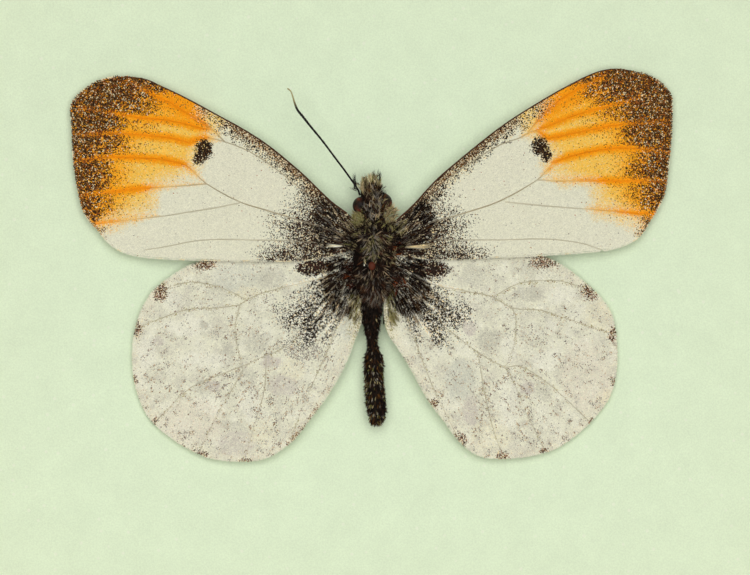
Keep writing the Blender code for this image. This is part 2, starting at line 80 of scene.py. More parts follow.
# Body, as in the part
THORAX_MIDDLE = (0.08, -0.45, 2.2)
THORAX_HALF = (1.55, 2.93, 1.3)
HEAD_MIDDLE = (-0.05, 3.55, 2.25)
HEAD_HALF = (0.95, 0.92, 0.85)
EYES = (((-0.83, 3.68, 2.25), 0.7), ((0.68, 3.9, 2.25), 0.76))
ABDOMEN = (
    (-0.08, -2.4, 1.95, 0.72),
    (-0.08, -3.4, 1.8, 0.75),
    (-0.1, -4.3, 1.6, 0.7),
    (-0.1, -5.25, 1.4, 0.55),
    (-0.07, -6.0, 1.25, 0.38),
    (-0.04, -6.6, 1.2, 0.28),
    (0.0, -7.05, 1.15, 0.38),
    (0.04, -7.6, 1.15, 0.64),
    (0.04, -8.6, 1.15, 0.7),
    (0.1, -9.4, 1.15, 0.64),
    (0.15, -10.1, 1.1, 0.7),
    (0.22, -11.0, 1.1, 0.71),
    (0.3, -11.8, 1.1, 0.62),
    (0.27, -12.4, 1.1, 0.38),
    (0.22, -12.68, 1.1, 0.15),
)

# The skin under the hair, a little smaller than the part's body, and ringed on the abdomen
THORAX_SKIN_SHARE = 0.97
ABDOMEN_SKIN_SHARE = 0.93
ABDOMEN_RING_DEPTH = 0.07
ABDOMEN_RING_TURN = 0.62
PALPS_X = (-0.55, -0.05)
PALP_RADII = (0.4, 0.36, 0.16)

# The pin, with a lower and flatter head than in the part, and a thinner shaft
PIN_X = -0.08
PIN_Y = -0.83
PIN_HEAD_Z = 3.68
PIN_HEAD_HALF = (0.27, 1.2 * 0.27, 0.24)
PIN_SHAFT_RADIUS = 0.1
PIN_POINT_RADIUS = 0.01
PIN_POINT_LENGTH = 1.2
PIN_TIP_Z = -5.2

# The antenna's places and radii from its root to its hooked tip, and the share of those radii that is used
ANTENNA = (
    (-0.98, 4.45, 2.8, 0.086),
    (-1.13, 4.88, 2.85, 0.082),
    (-1.95, 6.08, 2.95, 0.082),
    (-2.85, 7.28, 3.0, 0.082),
    (-3.75, 8.48, 3.0, 0.086),
    (-4.73, 9.68, 2.95, 0.095),
    (-5.2, 10.28, 2.9, 0.105),
    (-5.65, 10.85, 2.85, 0.1),
    (-5.9, 11.48, 2.8, 0.075),
    (-6.02, 11.9, 2.8, 0.06),
    (-6.15, 12.23, 2.8, 0.055),
    (-6.4, 12.45, 2.8, 0.06),
)
ANTENNA_SLIM = 0.88
ANTENNA_RING_DEPTH = 0.08
ANTENNA_RING_TURN = 2.1
ANTENNA_PALE_FROM = 10.9
ANTENNA_PALE_TO = 11.8

# Wings, as in the part: outward from the body line, and up the card
FOREWING_RISE = 2.3
FOREWING_FALL_OUT = 0.07
HINDWING_RISE = 1.85
HINDWING_FALL_OUT = 0.065
HINDWING_FALL_TAIL = 0.03
FOREWING_LEFT = (
    (1.0, 2.2), (1.95, 3.1), (3.1, 3.95), (4.0, 4.8), (5.5, 6.25), (8.5, 8.65), (12.25, 10.8), (14.5, 12.0),
    (16.0, 12.7), (17.0, 13.15), (18.6, 13.4), (20.5, 13.05), (21.75, 12.3), (22.6, 11.25), (22.55, 9.75),
    (22.45, 7.5), (22.2, 5.5), (21.75, 3.5), (21.2, 2.55), (20.6, 1.95), (19.9, 1.05), (19.1, 0.45),
    (18.2, 0.1), (16.7, -0.15), (13.7, -0.3), (8.5, -0.4), (5.4, -0.4), (3.5, -0.1), (1.95, 0.3), (1.0, 0.6),
)
FOREWING_RIGHT = (
    (1.0, 1.9), (1.8, 2.6), (3.1, 3.8), (4.65, 5.5), (6.9, 7.45), (9.9, 9.8), (12.9, 11.7), (15.15, 12.95),
    (16.8, 13.7), (18.2, 13.95), (19.65, 13.75), (21.15, 13.2), (22.2, 12.2), (22.4, 11.4), (22.3, 8.6),
    (22.05, 6.2), (21.75, 4.4), (20.85, 2.8), (19.95, 1.45), (18.9, 0.8), (17.4, 0.4), (14.4, 0.15),
    (12.1, 0.0), (9.5, -0.1), (6.0, -0.3), (3.6, -0.2), (1.8, 0.1), (1.0, 0.4),
)
HINDWING_LEFT = (
    (1.0, 0.5), (4.5, 0.6), (9.0, 0.3), (11.85, -0.35), (13.6, -0.8), (15.0, -1.6), (16.4, -2.7),
    (17.1, -3.75), (17.65, -5.1), (17.95, -6.6), (17.95, -8.6), (17.6, -10.4), (16.75, -12.2), (15.2, -13.6),
    (13.6, -14.6), (12.1, -15.2), (9.85, -15.4), (8.0, -15.15), (6.1, -13.9), (4.9, -12.4), (3.55, -10.6),
    (2.3, -8.5), (1.5, -6.5), (1.0, -5.1), (0.9, -3.0), (1.0, -1.0),
)
HINDWING_RIGHT = (
    (1.0, 0.5), (4.5, 0.6), (9.0, 0.4), (11.8, 0.1), (13.8, -0.65), (15.5, -1.85), (16.85, -3.05),
    (17.85, -4.5), (18.2, -6.4), (18.2, -8.6), (17.8, -10.4), (16.9, -11.8), (15.5, -13.2), (13.8, -14.4),
    (11.8, -15.0), (9.5, -15.2), (7.9, -14.95), (6.5, -13.9), (5.4, -12.4), (4.25, -10.9), (2.9, -8.5),
    (1.9, -6.9), (1.1, -5.6), (0.9, -3.5), (1.0, -1.0),
)

# Where a wing's scales and its dark rays run out from, and which points of its outline are the leading edge
WING_ROOT_X = 0.6
WING_ROOT_Y = {"fore": 0.5, "hind": -0.4}
RAYS_OUT_SEEN = 10
RAYS_DOWN_SEEN = {"fore": 249, "hind": 262}
LEADING_EDGE = slice(1, 11)

# The membrane: how finely it is divided, and its thickness, waves and rise along a vein in millimetres
OUTLINE_STEPS = 4
SHEET_AROUND = 220
SHEET_RINGS = 40
SHEET_THICKNESS = 0.06
SHEET_INSET = 0.04
WAVE_HEIGHT = 0.1
RIPPLE_HEIGHT = 0.04
VEIN_RISE = 0.05
VEIN_REACH = 0.5

# Veins: their radius at the root, the share of it lost by the tip, and the lift off the membrane's middle
VEIN_RADIUS = {"fore": 0.055, "hind": 0.04}
VEIN_NARROWING = 0.4
FIRST_VEIN_SHARE = 1.3
VEIN_LIFT = 0.02

# The tube along the forewing's leading edge: its radius, how much of it is lost by the tip, and its lift
LEADING_EDGE_RADIUS = 0.075
LEADING_EDGE_NARROWING = 0.03
LEADING_EDGE_LIFT = 0.03

# How much of a vein's own shades covers the wing's, and how much less for the faint ones
VEIN_TONE = {"fore": 0.75, "hind": 0.5}
FAINT_REACH = 0.1
FAINT_SHARE = 0.5

# Scales on the wings, in millimetres
SCALE_PITCH = 0.056
SCALE_SCATTER = 0.38
SCALE_LIFT = 0.012
SCALE_EDGE_GAP = 0.03
SCALE_LENGTH = 0.125
SCALE_WIDTH = 0.085
SCALE_TIP_LIFT = 0.028
SCALE_LEAF = ((0.0, 0.0), (0.65, -0.5), (1.0, 0.0), (0.65, 0.5))
# Painted shade on a scale's four corners, root, side, tip and side: darker at the root, lighter at the tip
SCALE_LEAF_PAINTED_SHADE = (0.86, 0.98, 1.05, 0.98)
FRINGE_STEP = 0.035
FRINGE_LENGTH = 0.2
FRINGE_WIDTH = 0.045
FRINGE_INSET = 0.05
FRINGE_OFF_LEADING_EDGE = 0.4
VEIN_BARE = 0.04

# Shades, 0 to 255, set and then tuned by comparing mean colours of the render and the picture
SHADES = {
    "white": (231, 229, 204),
    "chalk": (241, 239, 221),
    "cream": (238, 229, 192),
    "straw": (246, 208, 98),
    "yellow": (250, 187, 44),
    "orange": (250, 158, 10),
    "deep_orange": (246, 134, 8),
    "rust": (168, 84, 26),
    "bark": (56, 35, 14),
    "sepia": (96, 64, 30),
    "bronze": (150, 106, 52),
    "fleck": (240, 222, 178),
    "brown": (108, 70, 46),
    "umber": (60, 42, 32),
    "black": (26, 20, 17),
    "beige": (204, 182, 146),
    "salmon": (190, 152, 126),
    "grey": (150, 143, 130),
    "dove": (196, 193, 174),
    "lilac": (200, 190, 178),
    "pink": (229, 215, 194),
    "mist": (208, 209, 192),
    "olive": (166, 160, 102),
    "moss": (128, 126, 68),
    "hay": (186, 172, 126),
    "russet": (96, 50, 34),
    "horn": (20, 16, 13),
}

# Oak, as linear values: its growth bands from dark to light, and its pores
OAK_BANDS = (
    (0.0, (0.30, 0.145, 0.055, 1)),
    (0.5, (0.42, 0.225, 0.09, 1)),
    (1.0, (0.47, 0.27, 0.115, 1)),
)
OAK_PORE = (0.1, 0.045, 0.018, 1.0)

# The card's own colour, and its specks
CARD_GREEN = (219, 234, 202)
CARD_SPECK = (238, 240, 222)

# Shades that run into each other on a wing, by the softness. The others stand out as single scales.
SOFT_SHADES = (
    "white", "chalk", "cream", "straw", "yellow", "orange", "deep_orange", "dove", "lilac", "pink", "mist",
)
SOFTNESS = 0.55

# Veins and marks of the wings, at the places where the picture shows them, across and down
FOREWING_MARKS = {
    "left": {
        "veins": (
            ((348, 236), (320, 227), (285, 216), (262, 209), (240, 202), (207, 184), (192, 170)),
            ((240, 203), (215, 208), (190, 212), (165, 216), (145, 218), (98, 224)),
            ((207, 184), (180, 186), (150, 188), (110, 192), (78, 196)),
            ((192, 170), (185, 165), (165, 160), (140, 158), (110, 157), (74, 161)),
            ((190, 143), (170, 138), (140, 135), (110, 133), (73, 135)),
            ((213, 130), (200, 128), (185, 124), (165, 120), (140, 118), (118, 114), (78, 108)),
            ((225, 142), (213, 130), (190, 115), (170, 103), (155, 96), (130, 82)),
            ((350, 228), (320, 205), (280, 172), (250, 152), (225, 142), (205, 138), (190, 143)),
            ((340, 244), (290, 241), (250, 240), (220, 239.5), (195, 241), (170, 246), (145, 250)),
        ),
        "orange": (
            (222, 92), (218, 118), (208, 134), (198, 150), (192, 168), (172, 176), (152, 184), (147, 205),
            (128, 215), (104, 225), (60, 235), (40, 150), (50, 60), (200, 40),
        ),
        "dark_tip": (
            (186, 70), (166, 90), (150, 100), (143, 112), (126, 116), (122, 130), (119, 144), (104, 152),
            (112, 176), (106, 196), (100, 212), (98, 236), (40, 245), (30, 60), (180, 40),
        ),
        "faint": (1, 8),
        "spots": ((205, 150, 7.0, 8.5), (200, 159, 5.0, 5.0)),
        "fan": (
            (246, 278), (256, 258), (269, 240), (281, 217), (294, 199), (310, 183), (345, 165), (420, 165),
            (420, 320), (246, 320),
        ),
    },
    "right": {
        "veins": (
            ((400, 232), (430, 223), (468, 212), (500, 201), (537, 180), (550, 167)),
            ((505, 202), (535, 205), (570, 208), (600, 210), (630, 213), (654, 214)),
            ((537, 180), (560, 181), (600, 181), (640, 181), (667, 181)),
            ((551, 163), (575, 155), (600, 150), (625, 148), (669, 152)),
            ((548, 139), (575, 133), (600, 128), (625, 124), (667, 122)),
            ((535, 131), (550, 125), (570, 117), (590, 111), (640, 98)),
            ((528, 132), (540, 118), (560, 100), (580, 88), (604, 76)),
            ((405, 218), (440, 185), (470, 163), (500, 145), (520, 138), (535, 131), (548, 139)),
            ((408, 240), (455, 240), (500, 240), (545, 239), (580, 243), (602, 250)),
        ),
        "orange": (
            (518, 84), (524, 112), (538, 130), (546, 148), (552, 168), (572, 176), (592, 184), (598, 204),
            (620, 215), (650, 224), (690, 235), (710, 150), (700, 50), (540, 30),
        ),
        "dark_tip": (
            (560, 62), (580, 82), (596, 92), (604, 106), (618, 112), (624, 128), (628, 144), (640, 152),
            (634, 176), (640, 196), (645, 210), (648, 236), (710, 245), (720, 50), (570, 30),
        ),
        "faint": (1, 2, 8),
        "spots": ((539, 147, 7.0, 8.0), (545, 156, 5.0, 5.0)),
        "fan": (
            (493, 278), (484, 258), (472, 240), (461, 218), (449, 200), (434, 184), (400, 165), (320, 165),
            (320, 320), (493, 320),
        ),
    },
}
HINDWING_MARKS = {
    "left": {
        "veins": (
            ((345, 271), (330, 275), (310, 281), (285, 287), (260, 294), (247, 300), (240, 305)),
            ((240, 305), (215, 308), (190, 309), (170, 315), (137, 328)),
            ((247, 300), (222, 288), (190, 282), (160, 290)),
            ((325, 312), (300, 335), (280, 350), (265, 356), (248, 364), (243, 370)),
            ((243, 370), (233, 388), (225, 402), (217, 416), (200, 450)),
            ((248, 364), (222, 374), (190, 388), (157, 420)),
            ((240, 305), (235, 330), (243, 370)),
            ((266, 357), (265, 387), (256, 420), (245, 458)),
            ((345, 300), (330, 345), (312, 385), (290, 440)),
        ),
        "edge_patches": (
            (192, 217, 257, 270), (154, 168, 280, 300), (132, 142, 320, 336), (131, 138, 373, 383),
            (152, 159, 417, 425), (192, 207, 448, 458), (238, 252, 457, 464),
        ),
        "clouds": (
            (208, 240, 278, 300, "dove", 0.3),
            (258, 285, 268, 288, "dove", 0.5),
            (215, 260, 262, 290, "mist", 0.4),
            (243, 272, 333, 352, "dove", 0.5),
            (220, 235, 340, 368, "dove", 0.5),
            (160, 185, 290, 310, "chalk", 0.4),
            (165, 215, 318, 335, "chalk", 0.5),
            (200, 212, 320, 328, "dove", 0.7),
            (155, 165, 338, 348, "lilac", 0.5),
            (138, 158, 334, 368, "chalk", 0.5),
            (178, 230, 352, 368, "chalk", 0.5),
            (240, 258, 368, 385, "dove", 0.4),
            (262, 280, 355, 368, "lilac", 0.6),
            (280, 305, 355, 380, "cream", 0.25),
            (195, 210, 380, 395, "dove", 0.4),
            (208, 222, 380, 392, "lilac", 0.6),
            (240, 260, 385, 420, "chalk", 0.5),
            (192, 225, 392, 415, "chalk", 0.4),
            (268, 300, 375, 395, "lilac", 0.45),
            (225, 245, 420, 430, "dove", 0.4),
            (215, 255, 430, 455, "lilac", 0.4),
            (160, 225, 400, 440, "pink", 0.25),
            (285, 325, 340, 360, "grey", 0.35),
            (338, 355, 310, 340, "mist", 0.5),
            (250, 280, 420, 445, "cream", 0.25),
            (235, 262, 285, 297, "cream", 0.25),
        ),
        "specks": (
            (252, 254, 396, 400), (250, 262, 405, 412), (256, 260, 416, 420), (268, 276, 395, 406),
            (275, 279, 429, 433), (268, 270, 368, 385), (273, 278, 410, 428), (168, 172, 385, 392),
            (225, 235, 373, 378), (222, 228, 336, 340), (228, 234, 315, 325), (265, 270, 296, 303),
        ),
        "edge_line": ((318, 405), (306, 424), (288, 442)),
        "ellipse": (316, 268, 18, 7.5),
        "fan": (
            (291, 302), (305, 286), (328, 270), (358, 236), (420, 236), (420, 290), (352, 294), (340, 312),
            (328, 332), (308, 342), (293, 330),
        ),
        "pale_lines": (
            ((337, 270), (318, 277), (300, 283), (288, 285)),
            ((349, 284), (342, 300), (333, 319), (327, 330)),
            ((343, 284), (328, 300), (316, 314)),
        ),
    },
    "right": {
        "veins": (
            ((400, 272), (435, 285), (455, 289), (475, 293), (493, 297), (512, 308), (540, 310), (565, 318)),
            ((565, 318), (612, 334)),
            ((493, 297), (520, 283), (560, 281), (588, 290)),
            ((425, 312), (455, 335), (472, 348), (490, 360), (505, 368), (515, 385), (522, 402), (527, 415)),
            ((527, 415), (546, 452)),
            ((505, 368), (520, 366), (550, 385), (590, 422)),
            ((512, 308), (516, 318), (514, 345), (505, 368)),
            ((478, 352), (484, 390), (492, 425), (502, 454)),
            ((400, 300), (415, 340), (432, 385), (458, 438)),
        ),
        "edge_patches": (
            (530, 558, 253, 270), (580, 597, 280, 300), (608, 616, 326, 342), (610, 616, 378, 385),
            (588, 594, 418, 426), (540, 552, 448, 456), (495, 510, 450, 462), (452, 465, 430, 446),
            (430, 438, 398, 408),
        ),
        "clouds": (
            (460, 485, 262, 285, "dove", 0.4),
            (515, 535, 262, 275, "dove", 0.4),
            (512, 540, 285, 300, "dove", 0.6),
            (545, 575, 285, 305, "chalk", 0.4),
            (460, 475, 318, 335, "lilac", 0.6),
            (475, 500, 330, 350, "dove", 0.6),
            (500, 515, 335, 360, "chalk", 0.5),
            (545, 558, 320, 335, "chalk", 0.4),
            (530, 560, 350, 370, "chalk", 0.5),
            (520, 535, 380, 395, "lilac", 0.6),
            (535, 550, 380, 400, "dove", 0.4),
            (500, 520, 375, 430, "chalk", 0.4),
            (445, 475, 358, 400, "mist", 0.6),
            (460, 480, 395, 425, "lilac", 0.5),
            (560, 610, 340, 410, "pink", 0.25),
            (585, 612, 300, 330, "cream", 0.25),
            (470, 510, 420, 450, "cream", 0.25),
            (595, 610, 390, 405, "cream", 0.25),
        ),
        "specks": (
            (501, 505, 322, 326), (512, 516, 328, 332), (490, 494, 403, 407), (492, 496, 418, 422),
            (485, 489, 367, 371), (502, 506, 376, 380), (517, 521, 376, 380), (563, 567, 340, 344),
            (552, 556, 353, 357), (563, 567, 306, 310), (558, 562, 406, 410), (425, 429, 356, 360),
        ),
        "edge_line": ((430, 400), (440, 418), (452, 434)),
        "ellipse": (428, 269, 20, 8),
        "fan": (
            (452, 294), (440, 278), (420, 266), (392, 236), (330, 236), (330, 290), (394, 290), (404, 310),
            (420, 328), (440, 340), (455, 332), (459, 314),
        ),
        "pale_lines": (
            ((404, 271), (424, 280), (442, 286), (458, 289)),
            ((399, 286), (408, 304), (420, 322), (430, 334)),
            ((402, 280), (420, 298), (436, 310)),
        ),
    },
}

# Hair grows in clumps of a few that share a root, a heading and a shade. How many clumps, and their seeds.
CLUMP = 5
CLUMP_SPREAD = 0.02
THORAX_CLUMPS = 2900
HEAD_CLUMPS = 600
ABDOMEN_CLUMPS = 2000
THORAX_SEED = 31
HEAD_SEED = 41
ABDOMEN_SEED = 51

# How far the hair spreads: the share of the thorax's width, millimetres aside on the head, and on a wing the
# gap that it keeps to the edge, for hairs that reach this much further than their clump's length
THORAX_FUR_WIDTH = 0.94
HEAD_FUR_REACH = 0.6
TUFT_EDGE_GAP = 0.05
TUFT_REACH = 1.15

# A hair's two rings, as shares of its length and its radius, and the painted shade of its seven corners
HAIR_RINGS = ((0.0, 1.0), (0.55, 0.75))
HAIR_TURNS = (0.5, 0.5 + 2 / 3, 0.5 + 4 / 3)
# Painted shade: darker at a hair's root and lighter at its tip
HAIR_PAINTED_SHADE = (0.7, 0.7, 0.7, 1.0, 1.0, 1.0, 1.15)

# Mixes of hair shades
MIXES = {
    "tuft": {"hay": 0.5, "olive": 0.12, "cream": 0.06, "umber": 0.12, "beige": 0.2},
    "spike": {"black": 0.8, "umber": 0.2},
    "crown": {"black": 0.38, "umber": 0.27, "sepia": 0.1, "grey": 0.12, "hay": 0.13},
    "moss": {"moss": 0.1, "olive": 0.52, "hay": 0.34, "umber": 0.04},
    "straw": {"olive": 0.16, "hay": 0.42, "beige": 0.38, "umber": 0.04},
    "collar": {"black": 0.5, "umber": 0.24, "grey": 0.08, "hay": 0.11, "olive": 0.07},
    "dark": {"black": 0.56, "umber": 0.3, "sepia": 0.08, "grey": 0.06},
    "russet": {"russet": 0.3, "umber": 0.4, "rust": 0.1, "black": 0.2},
    "pale": {"fleck": 0.4, "chalk": 0.6},
    "edge": {"hay": 0.32, "olive": 0.24, "moss": 0.1, "cream": 0.14, "umber": 0.2},
    "glint": {"grey": 0.5, "beige": 0.5},
}

# The wings that a group of tufts lies on, past whose edges no hair reaches
TUFT_WINGS = {"forewing_base": "fore", "hindwing_base": "hind"}

# Tufts, where the picture shows them: patch, clumps, heights off the card, heading and fan in degrees,
# lengths, radius, rise and mix. Two numbers in place of a heading are the place that the hairs run out from.
TUFTS = {
    "head": (
        ((361, 380, 181, 198), 300, (2.4, 3.1), 90, 30, (0.35, 0.8), 0.014, 0.1, "tuft"),
        ((354, 357, 184, 190), 7, (2.4, 2.6), 94, 5, (0.8, 1.05), 0.014, 0.2, "spike"),
        ((373, 376, 178, 186), 9, (2.5, 2.8), 93, 6, (0.7, 1.0), 0.014, 0.2, "spike"),
        ((374, 378, 176, 184), 5, (2.5, 2.8), 60, 20, (0.4, 0.7), 0.012, 0.2, "spike"),
        ((378, 381, 180, 190), 6, (2.4, 2.6), 84, 8, (0.5, 0.9), 0.014, 0.2, "spike"),
        ((355, 361, 180, 192), 6, (2.3, 2.5), 160, 18, (0.4, 0.75), 0.01, 0.1, "spike"),
        ((379, 384, 186, 192), 4, (2.3, 2.5), 40, 20, (0.25, 0.45), 0.01, 0.1, "spike"),
        ((363, 384, 186, 226), 560, (2.85, 3.25), 92, 70, (0.3, 0.65), 0.016, 0.12, "crown"),
        ((364, 382, 188, 222), 50, (3.15, 3.35), 92, 60, (0.3, 0.6), 0.014, 0.1, "glint"),
        ((359, 369, 208, 222), 50, (2.6, 3.0), 120, 70, (0.2, 0.45), 0.014, 0.2, "moss"),
        ((380, 389, 204, 220), 50, (2.6, 3.0), 70, 70, (0.2, 0.45), 0.014, 0.2, "straw"),
        ((353, 366, 212, 229), 170, (1.9, 2.8), 140, 80, (0.2, 0.45), 0.013, 0.2, "moss"),
        ((386, 396, 206, 224), 150, (1.9, 2.7), 50, 80, (0.2, 0.45), 0.013, 0.2, "straw"),
    ),
    "thorax": (
        # First row: a few pale hairs beside the pin head, a painted glint at its edge
        ((364, 366, 261, 268), 3, (3.45, 3.55), 92, 8, (0.2, 0.35), 0.013, 0.08, "pale"),
        ((342, 360, 262, 288), 60, (2.0, 2.7), 205, 70, (0.25, 0.6), 0.014, 0.2, "russet"),
        ((389, 405, 236, 258), 60, (2.1, 2.8), -5, 70, (0.25, 0.6), 0.014, 0.2, "russet"),
        ((390, 404, 274, 292), 40, (2.0, 2.6), -40, 70, (0.25, 0.6), 0.014, 0.2, "russet"),
        ((346, 360, 230, 256), 100, (2.2, 2.8), 160, 60, (0.35, 0.8), 0.012, 0.12, "collar"),
        ((388, 402, 226, 256), 100, (2.2, 2.8), 25, 60, (0.35, 0.8), 0.012, 0.12, "collar"),
        ((358, 396, 218, 240), 260, (2.7, 3.3), 90, 120, (0.3, 0.6), 0.016, 0.2, "collar"),
        ((350, 363, 286, 320), 80, (1.7, 2.0), 250, 34, (0.4, 0.9), 0.011, 0.05, "edge"),
        ((386, 396, 286, 322), 80, (1.7, 2.0), 288, 34, (0.4, 0.9), 0.011, 0.05, "edge"),
    ),
    "forewing_base": (
        ((318, 358, 196, 258), 360, (2.15, 2.36), (368, 252), 12, (0.3, 0.9), 0.013, 0.04, "dark"),
        ((390, 430, 196, 258), 360, (2.15, 2.36), (380, 252), 12, (0.3, 0.9), 0.013, 0.04, "dark"),
        ((312, 358, 196, 262), 60, (2.22, 2.38), (368, 252), 30, (0.07, 0.16), 0.018, 0.02, "pale"),
        ((390, 440, 196, 262), 60, (2.22, 2.38), (380, 252), 30, (0.07, 0.16), 0.018, 0.02, "pale"),
        ((342, 356, 222, 240), 16, (2.4, 2.6), 140, 24, (0.3, 0.7), 0.009, 0.1, "tuft"),
        ((394, 406, 218, 238), 20, (2.4, 2.6), 42, 24, (0.3, 0.8), 0.009, 0.1, "tuft"),
        ((330, 356, 204, 256), 26, (2.2, 2.36), (368, 252), 12, (0.4, 1.0), 0.01, 0.02, "glint"),
        ((392, 418, 204, 256), 26, (2.2, 2.36), (380, 252), 12, (0.4, 1.0), 0.01, 0.02, "glint"),
        ((340, 344, 245, 247), 6, (2.37, 2.4), 180, 1, (0.8, 1.3), 0.022, 0.02, "pale"),
        ((404, 410, 246, 248), 4, (2.36, 2.38), 1, 1, (1.2, 2.2), 0.014, 0.02, "pale"),
        ((340, 350, 253, 256), 4, (2.36, 2.4), 187, 3, (1.2, 2.4), 0.012, 0.0, "pale"),
        ((398, 410, 255, 258), 4, (2.36, 2.4), -2, 3, (1.2, 2.2), 0.012, 0.0, "pale"),
    ),
    "hindwing_base": (
        ((326, 360, 256, 312), 380, (1.8, 2.0), (370, 252), 12, (0.3, 0.9), 0.013, 0.03, "dark"),
        ((388, 426, 256, 314), 380, (1.8, 2.0), (376, 252), 12, (0.3, 0.9), 0.013, 0.03, "dark"),
        ((304, 352, 266, 334), 80, (1.8, 2.0), (370, 252), 12, (0.08, 0.26), 0.014, 0.02, "pale"),
        ((396, 448, 266, 334), 80, (1.8, 2.0), (376, 252), 12, (0.08, 0.26), 0.014, 0.02, "pale"),
        ((322, 352, 272, 318), 30, (1.85, 2.0), (370, 252), 10, (0.4, 1.0), 0.01, 0.02, "glint"),
        ((394, 430, 272, 318), 30, (1.85, 2.0), (376, 252), 10, (0.4, 1.0), 0.01, 0.02, "glint"),
        ((345, 348, 276, 286), 2, (1.97, 2.0), 250, 2, (1.8, 2.6), 0.01, 0.0, "pale"),
    ),
}

# The lamp in front, so wide that the wings' shadows on the card are soft on every side
LAMP_DISTANCE = 1.6
LAMP_RADIUS = 1.0
LAMP_PLACE = (0.05, 0.2)
LAMP_POWER = 29.9

# The two lamps at the sides, the one behind, and the room
SIDE_LAMP_PLACE = (1.3, 0.2, 1.2)
SIDE_LAMP_SIZE = 0.9
SIDE_LAMP_POWER = 13.0
BACK_LAMP_PLACE = (-0.6, 1.6, 0.8)
BACK_LAMP_SIZE = 1.2
BACK_LAMP_POWER = 26.0
WORLD_COLOUR = (0.86, 0.87, 0.86, 1.0)
WORLD_STRENGTH = 0.12

# The shelf, in metres
SHELF_SIZE = (0.6, 0.16, 0.02)
SHELF_PLACE = (0, 0.045, -0.01)
SHELF_BEVEL = 0.0015

# The camera, in front of the plane of the wings
WINGS_Y = -1.2
CAMERA_DISTANCE = 0.5
CAMERA_LENS = 320.0
SENSOR_WIDTH = 36.0


def linear(shade):
    """A colour read as 0 to 255, as the linear values that a material takes."""
    value = np.asarray(shade, float) / 255
    return np.where(value <= 0.04045, value / 12.92, ((value + 0.055) / 1.055) ** 2.4)


def opaque(shade):
    return (*linear(shade), 1.0)


def tangent(before, after, chord):
    """The direction of a smooth line between two neighbours of a point, as long as the chord beside it."""
    along = [a - b for a, b in zip(after, before)]
    length = math.hypot(*along) or 1.0
    return [value / length * chord for value in along]


def between(before, start, end, after, steps):
    """Points from start up to end on a smooth line that passes through all four."""
    chord = math.dist(start, end)
    leaving = tangent(before, end, chord)
    arriving = tangent(start, after, chord)
    points = []
    for i in range(steps):
        t = i / steps
        weights = (
            2 * t**3 - 3 * t**2 + 1,
            t**3 - 2 * t**2 + t,
            3 * t**2 - 2 * t**3,
            t**3 - t**2,
        )
        sources = zip(start, leaving, end, arriving)
        points.append(tuple(sum(w * s for w, s in zip(weights, values)) for values in sources))
    return points


def smooth_loop(points, steps):
    """A smooth closed line through the points."""
    count = len(points)
    loop = []
    for i in range(count):
        loop += between(points[i - 1], points[i], points[(i + 1) % count], points[(i + 2) % count], steps)
    return loop


def smooth_path(points, steps):
    """A smooth open line through the points."""
    path = []
    for i in range(len(points) - 1):
        before = points[max(i - 1, 0)]
        after = points[min(i + 2, len(points) - 1)]
        path += between(before, points[i], points[i + 1], after, steps)
    return path + [tuple(points[-1])]


def card_to_world(points):
    """World metres of points given in card space."""
    x, y, z = np.asarray(points, float).T
    up = FRAME_CENTRE_Z + SPECIMEN_ABOVE_CENTRE + y
    return np.stack([SPECIMEN_X + x, CARD_FRONT_Y - z, up], axis=1) * MM


def on_card(seen):
    """Card-space millimetres of places in the picture."""
    return (np.asarray(seen, float) - MIDDLE_SEEN) * (MM_PER_SEEN, -MM_PER_SEEN)


def in_picture(places):
    """Places in the picture of card-space millimetres."""
    return np.asarray(places, float) / (MM_PER_SEEN, -MM_PER_SEEN) + MIDDLE_SEEN


def ramp(values, low, high):
    """Rises smoothly from 0 at low to 1 at high."""
    share = np.clip((values - low) / (high - low), 0, 1)
    return share * share * (3 - 2 * share)


def path_gap(at, path):
    """Distance of each place from a path."""
    path = np.asarray(path, float)
    nearest = np.full(len(at), np.inf)
    for start, end in zip(path[:-1], path[1:]):
        along = end - start
        share = np.clip(((at - start) @ along) / max(along @ along, 1e-9), 0, 1)
        nearest = np.minimum(nearest, np.hypot(*(at - start - share[:, None] * along).T))
    return nearest


def nearest_gap(at, paths):
    """Distance of each place from the nearest of several paths."""
    return np.min([path_gap(at, path) for path in paths], axis=0)


def depth_in(at, loop):
    """Distance of each place from a loop's line: above zero inside the loop, and below zero outside."""
    loop = np.asarray(loop, float)
    inside = np.zeros(len(at), bool)
    x, y = at.T
    for (x0, y0), (x1, y1) in zip(loop, np.roll(loop, -1, axis=0)):
        crosses = (y0 > y) != (y1 > y)
        reach = x0 + (y - y0) * (x1 - x0) / (y1 - y0 if y1 != y0 else 1e-9)
        inside ^= crosses & (x < reach)
    gap = path_gap(at, np.vstack([loop, loop[:1]]))
    return np.where(inside, gap, -gap)


def oval_reach(at, oval):
    """How far from an oval's middle each place is, with 1 on its line. An oval is its middle and halves."""
    u, v, half_u, half_v = oval
    return np.hypot((at[:, 0] - u) / half_u, (at[:, 1] - v) / half_v)


def oval_of(patch):
    """The oval that fills a patch, which is given by its left, right, top and bottom."""
    left, right, top, bottom = patch[:4]
    return (left + right) / 2, (top + bottom) / 2, (right - left) / 2, (bottom - top) / 2


def in_patch(at, patch, soft):
    """1 inside the oval that fills a patch, and 0 outside it."""
    return ramp(-oval_reach(at, oval_of(patch)), -1 - soft, -1 + soft)


def soft_noise(at, size, seed):
    """Soft random values from -0.5 to 0.5, with features of the given size."""
    lattice = np.random.default_rng(seed).random((64, 64))
    place = np.asarray(at, float) / size
    cell = np.floor(place).astype(int)
    share = place - cell
    share = share * share * (3 - 2 * share)
    i, j = (cell % 64).T
    a, b = share.T
    near = lattice[i, j] * (1 - a) + lattice[(i + 1) % 64, j] * a
    far = lattice[i, (j + 1) % 64] * (1 - a) + lattice[(i + 1) % 64, (j + 1) % 64] * a
    return near * (1 - b) + far * b - 0.5


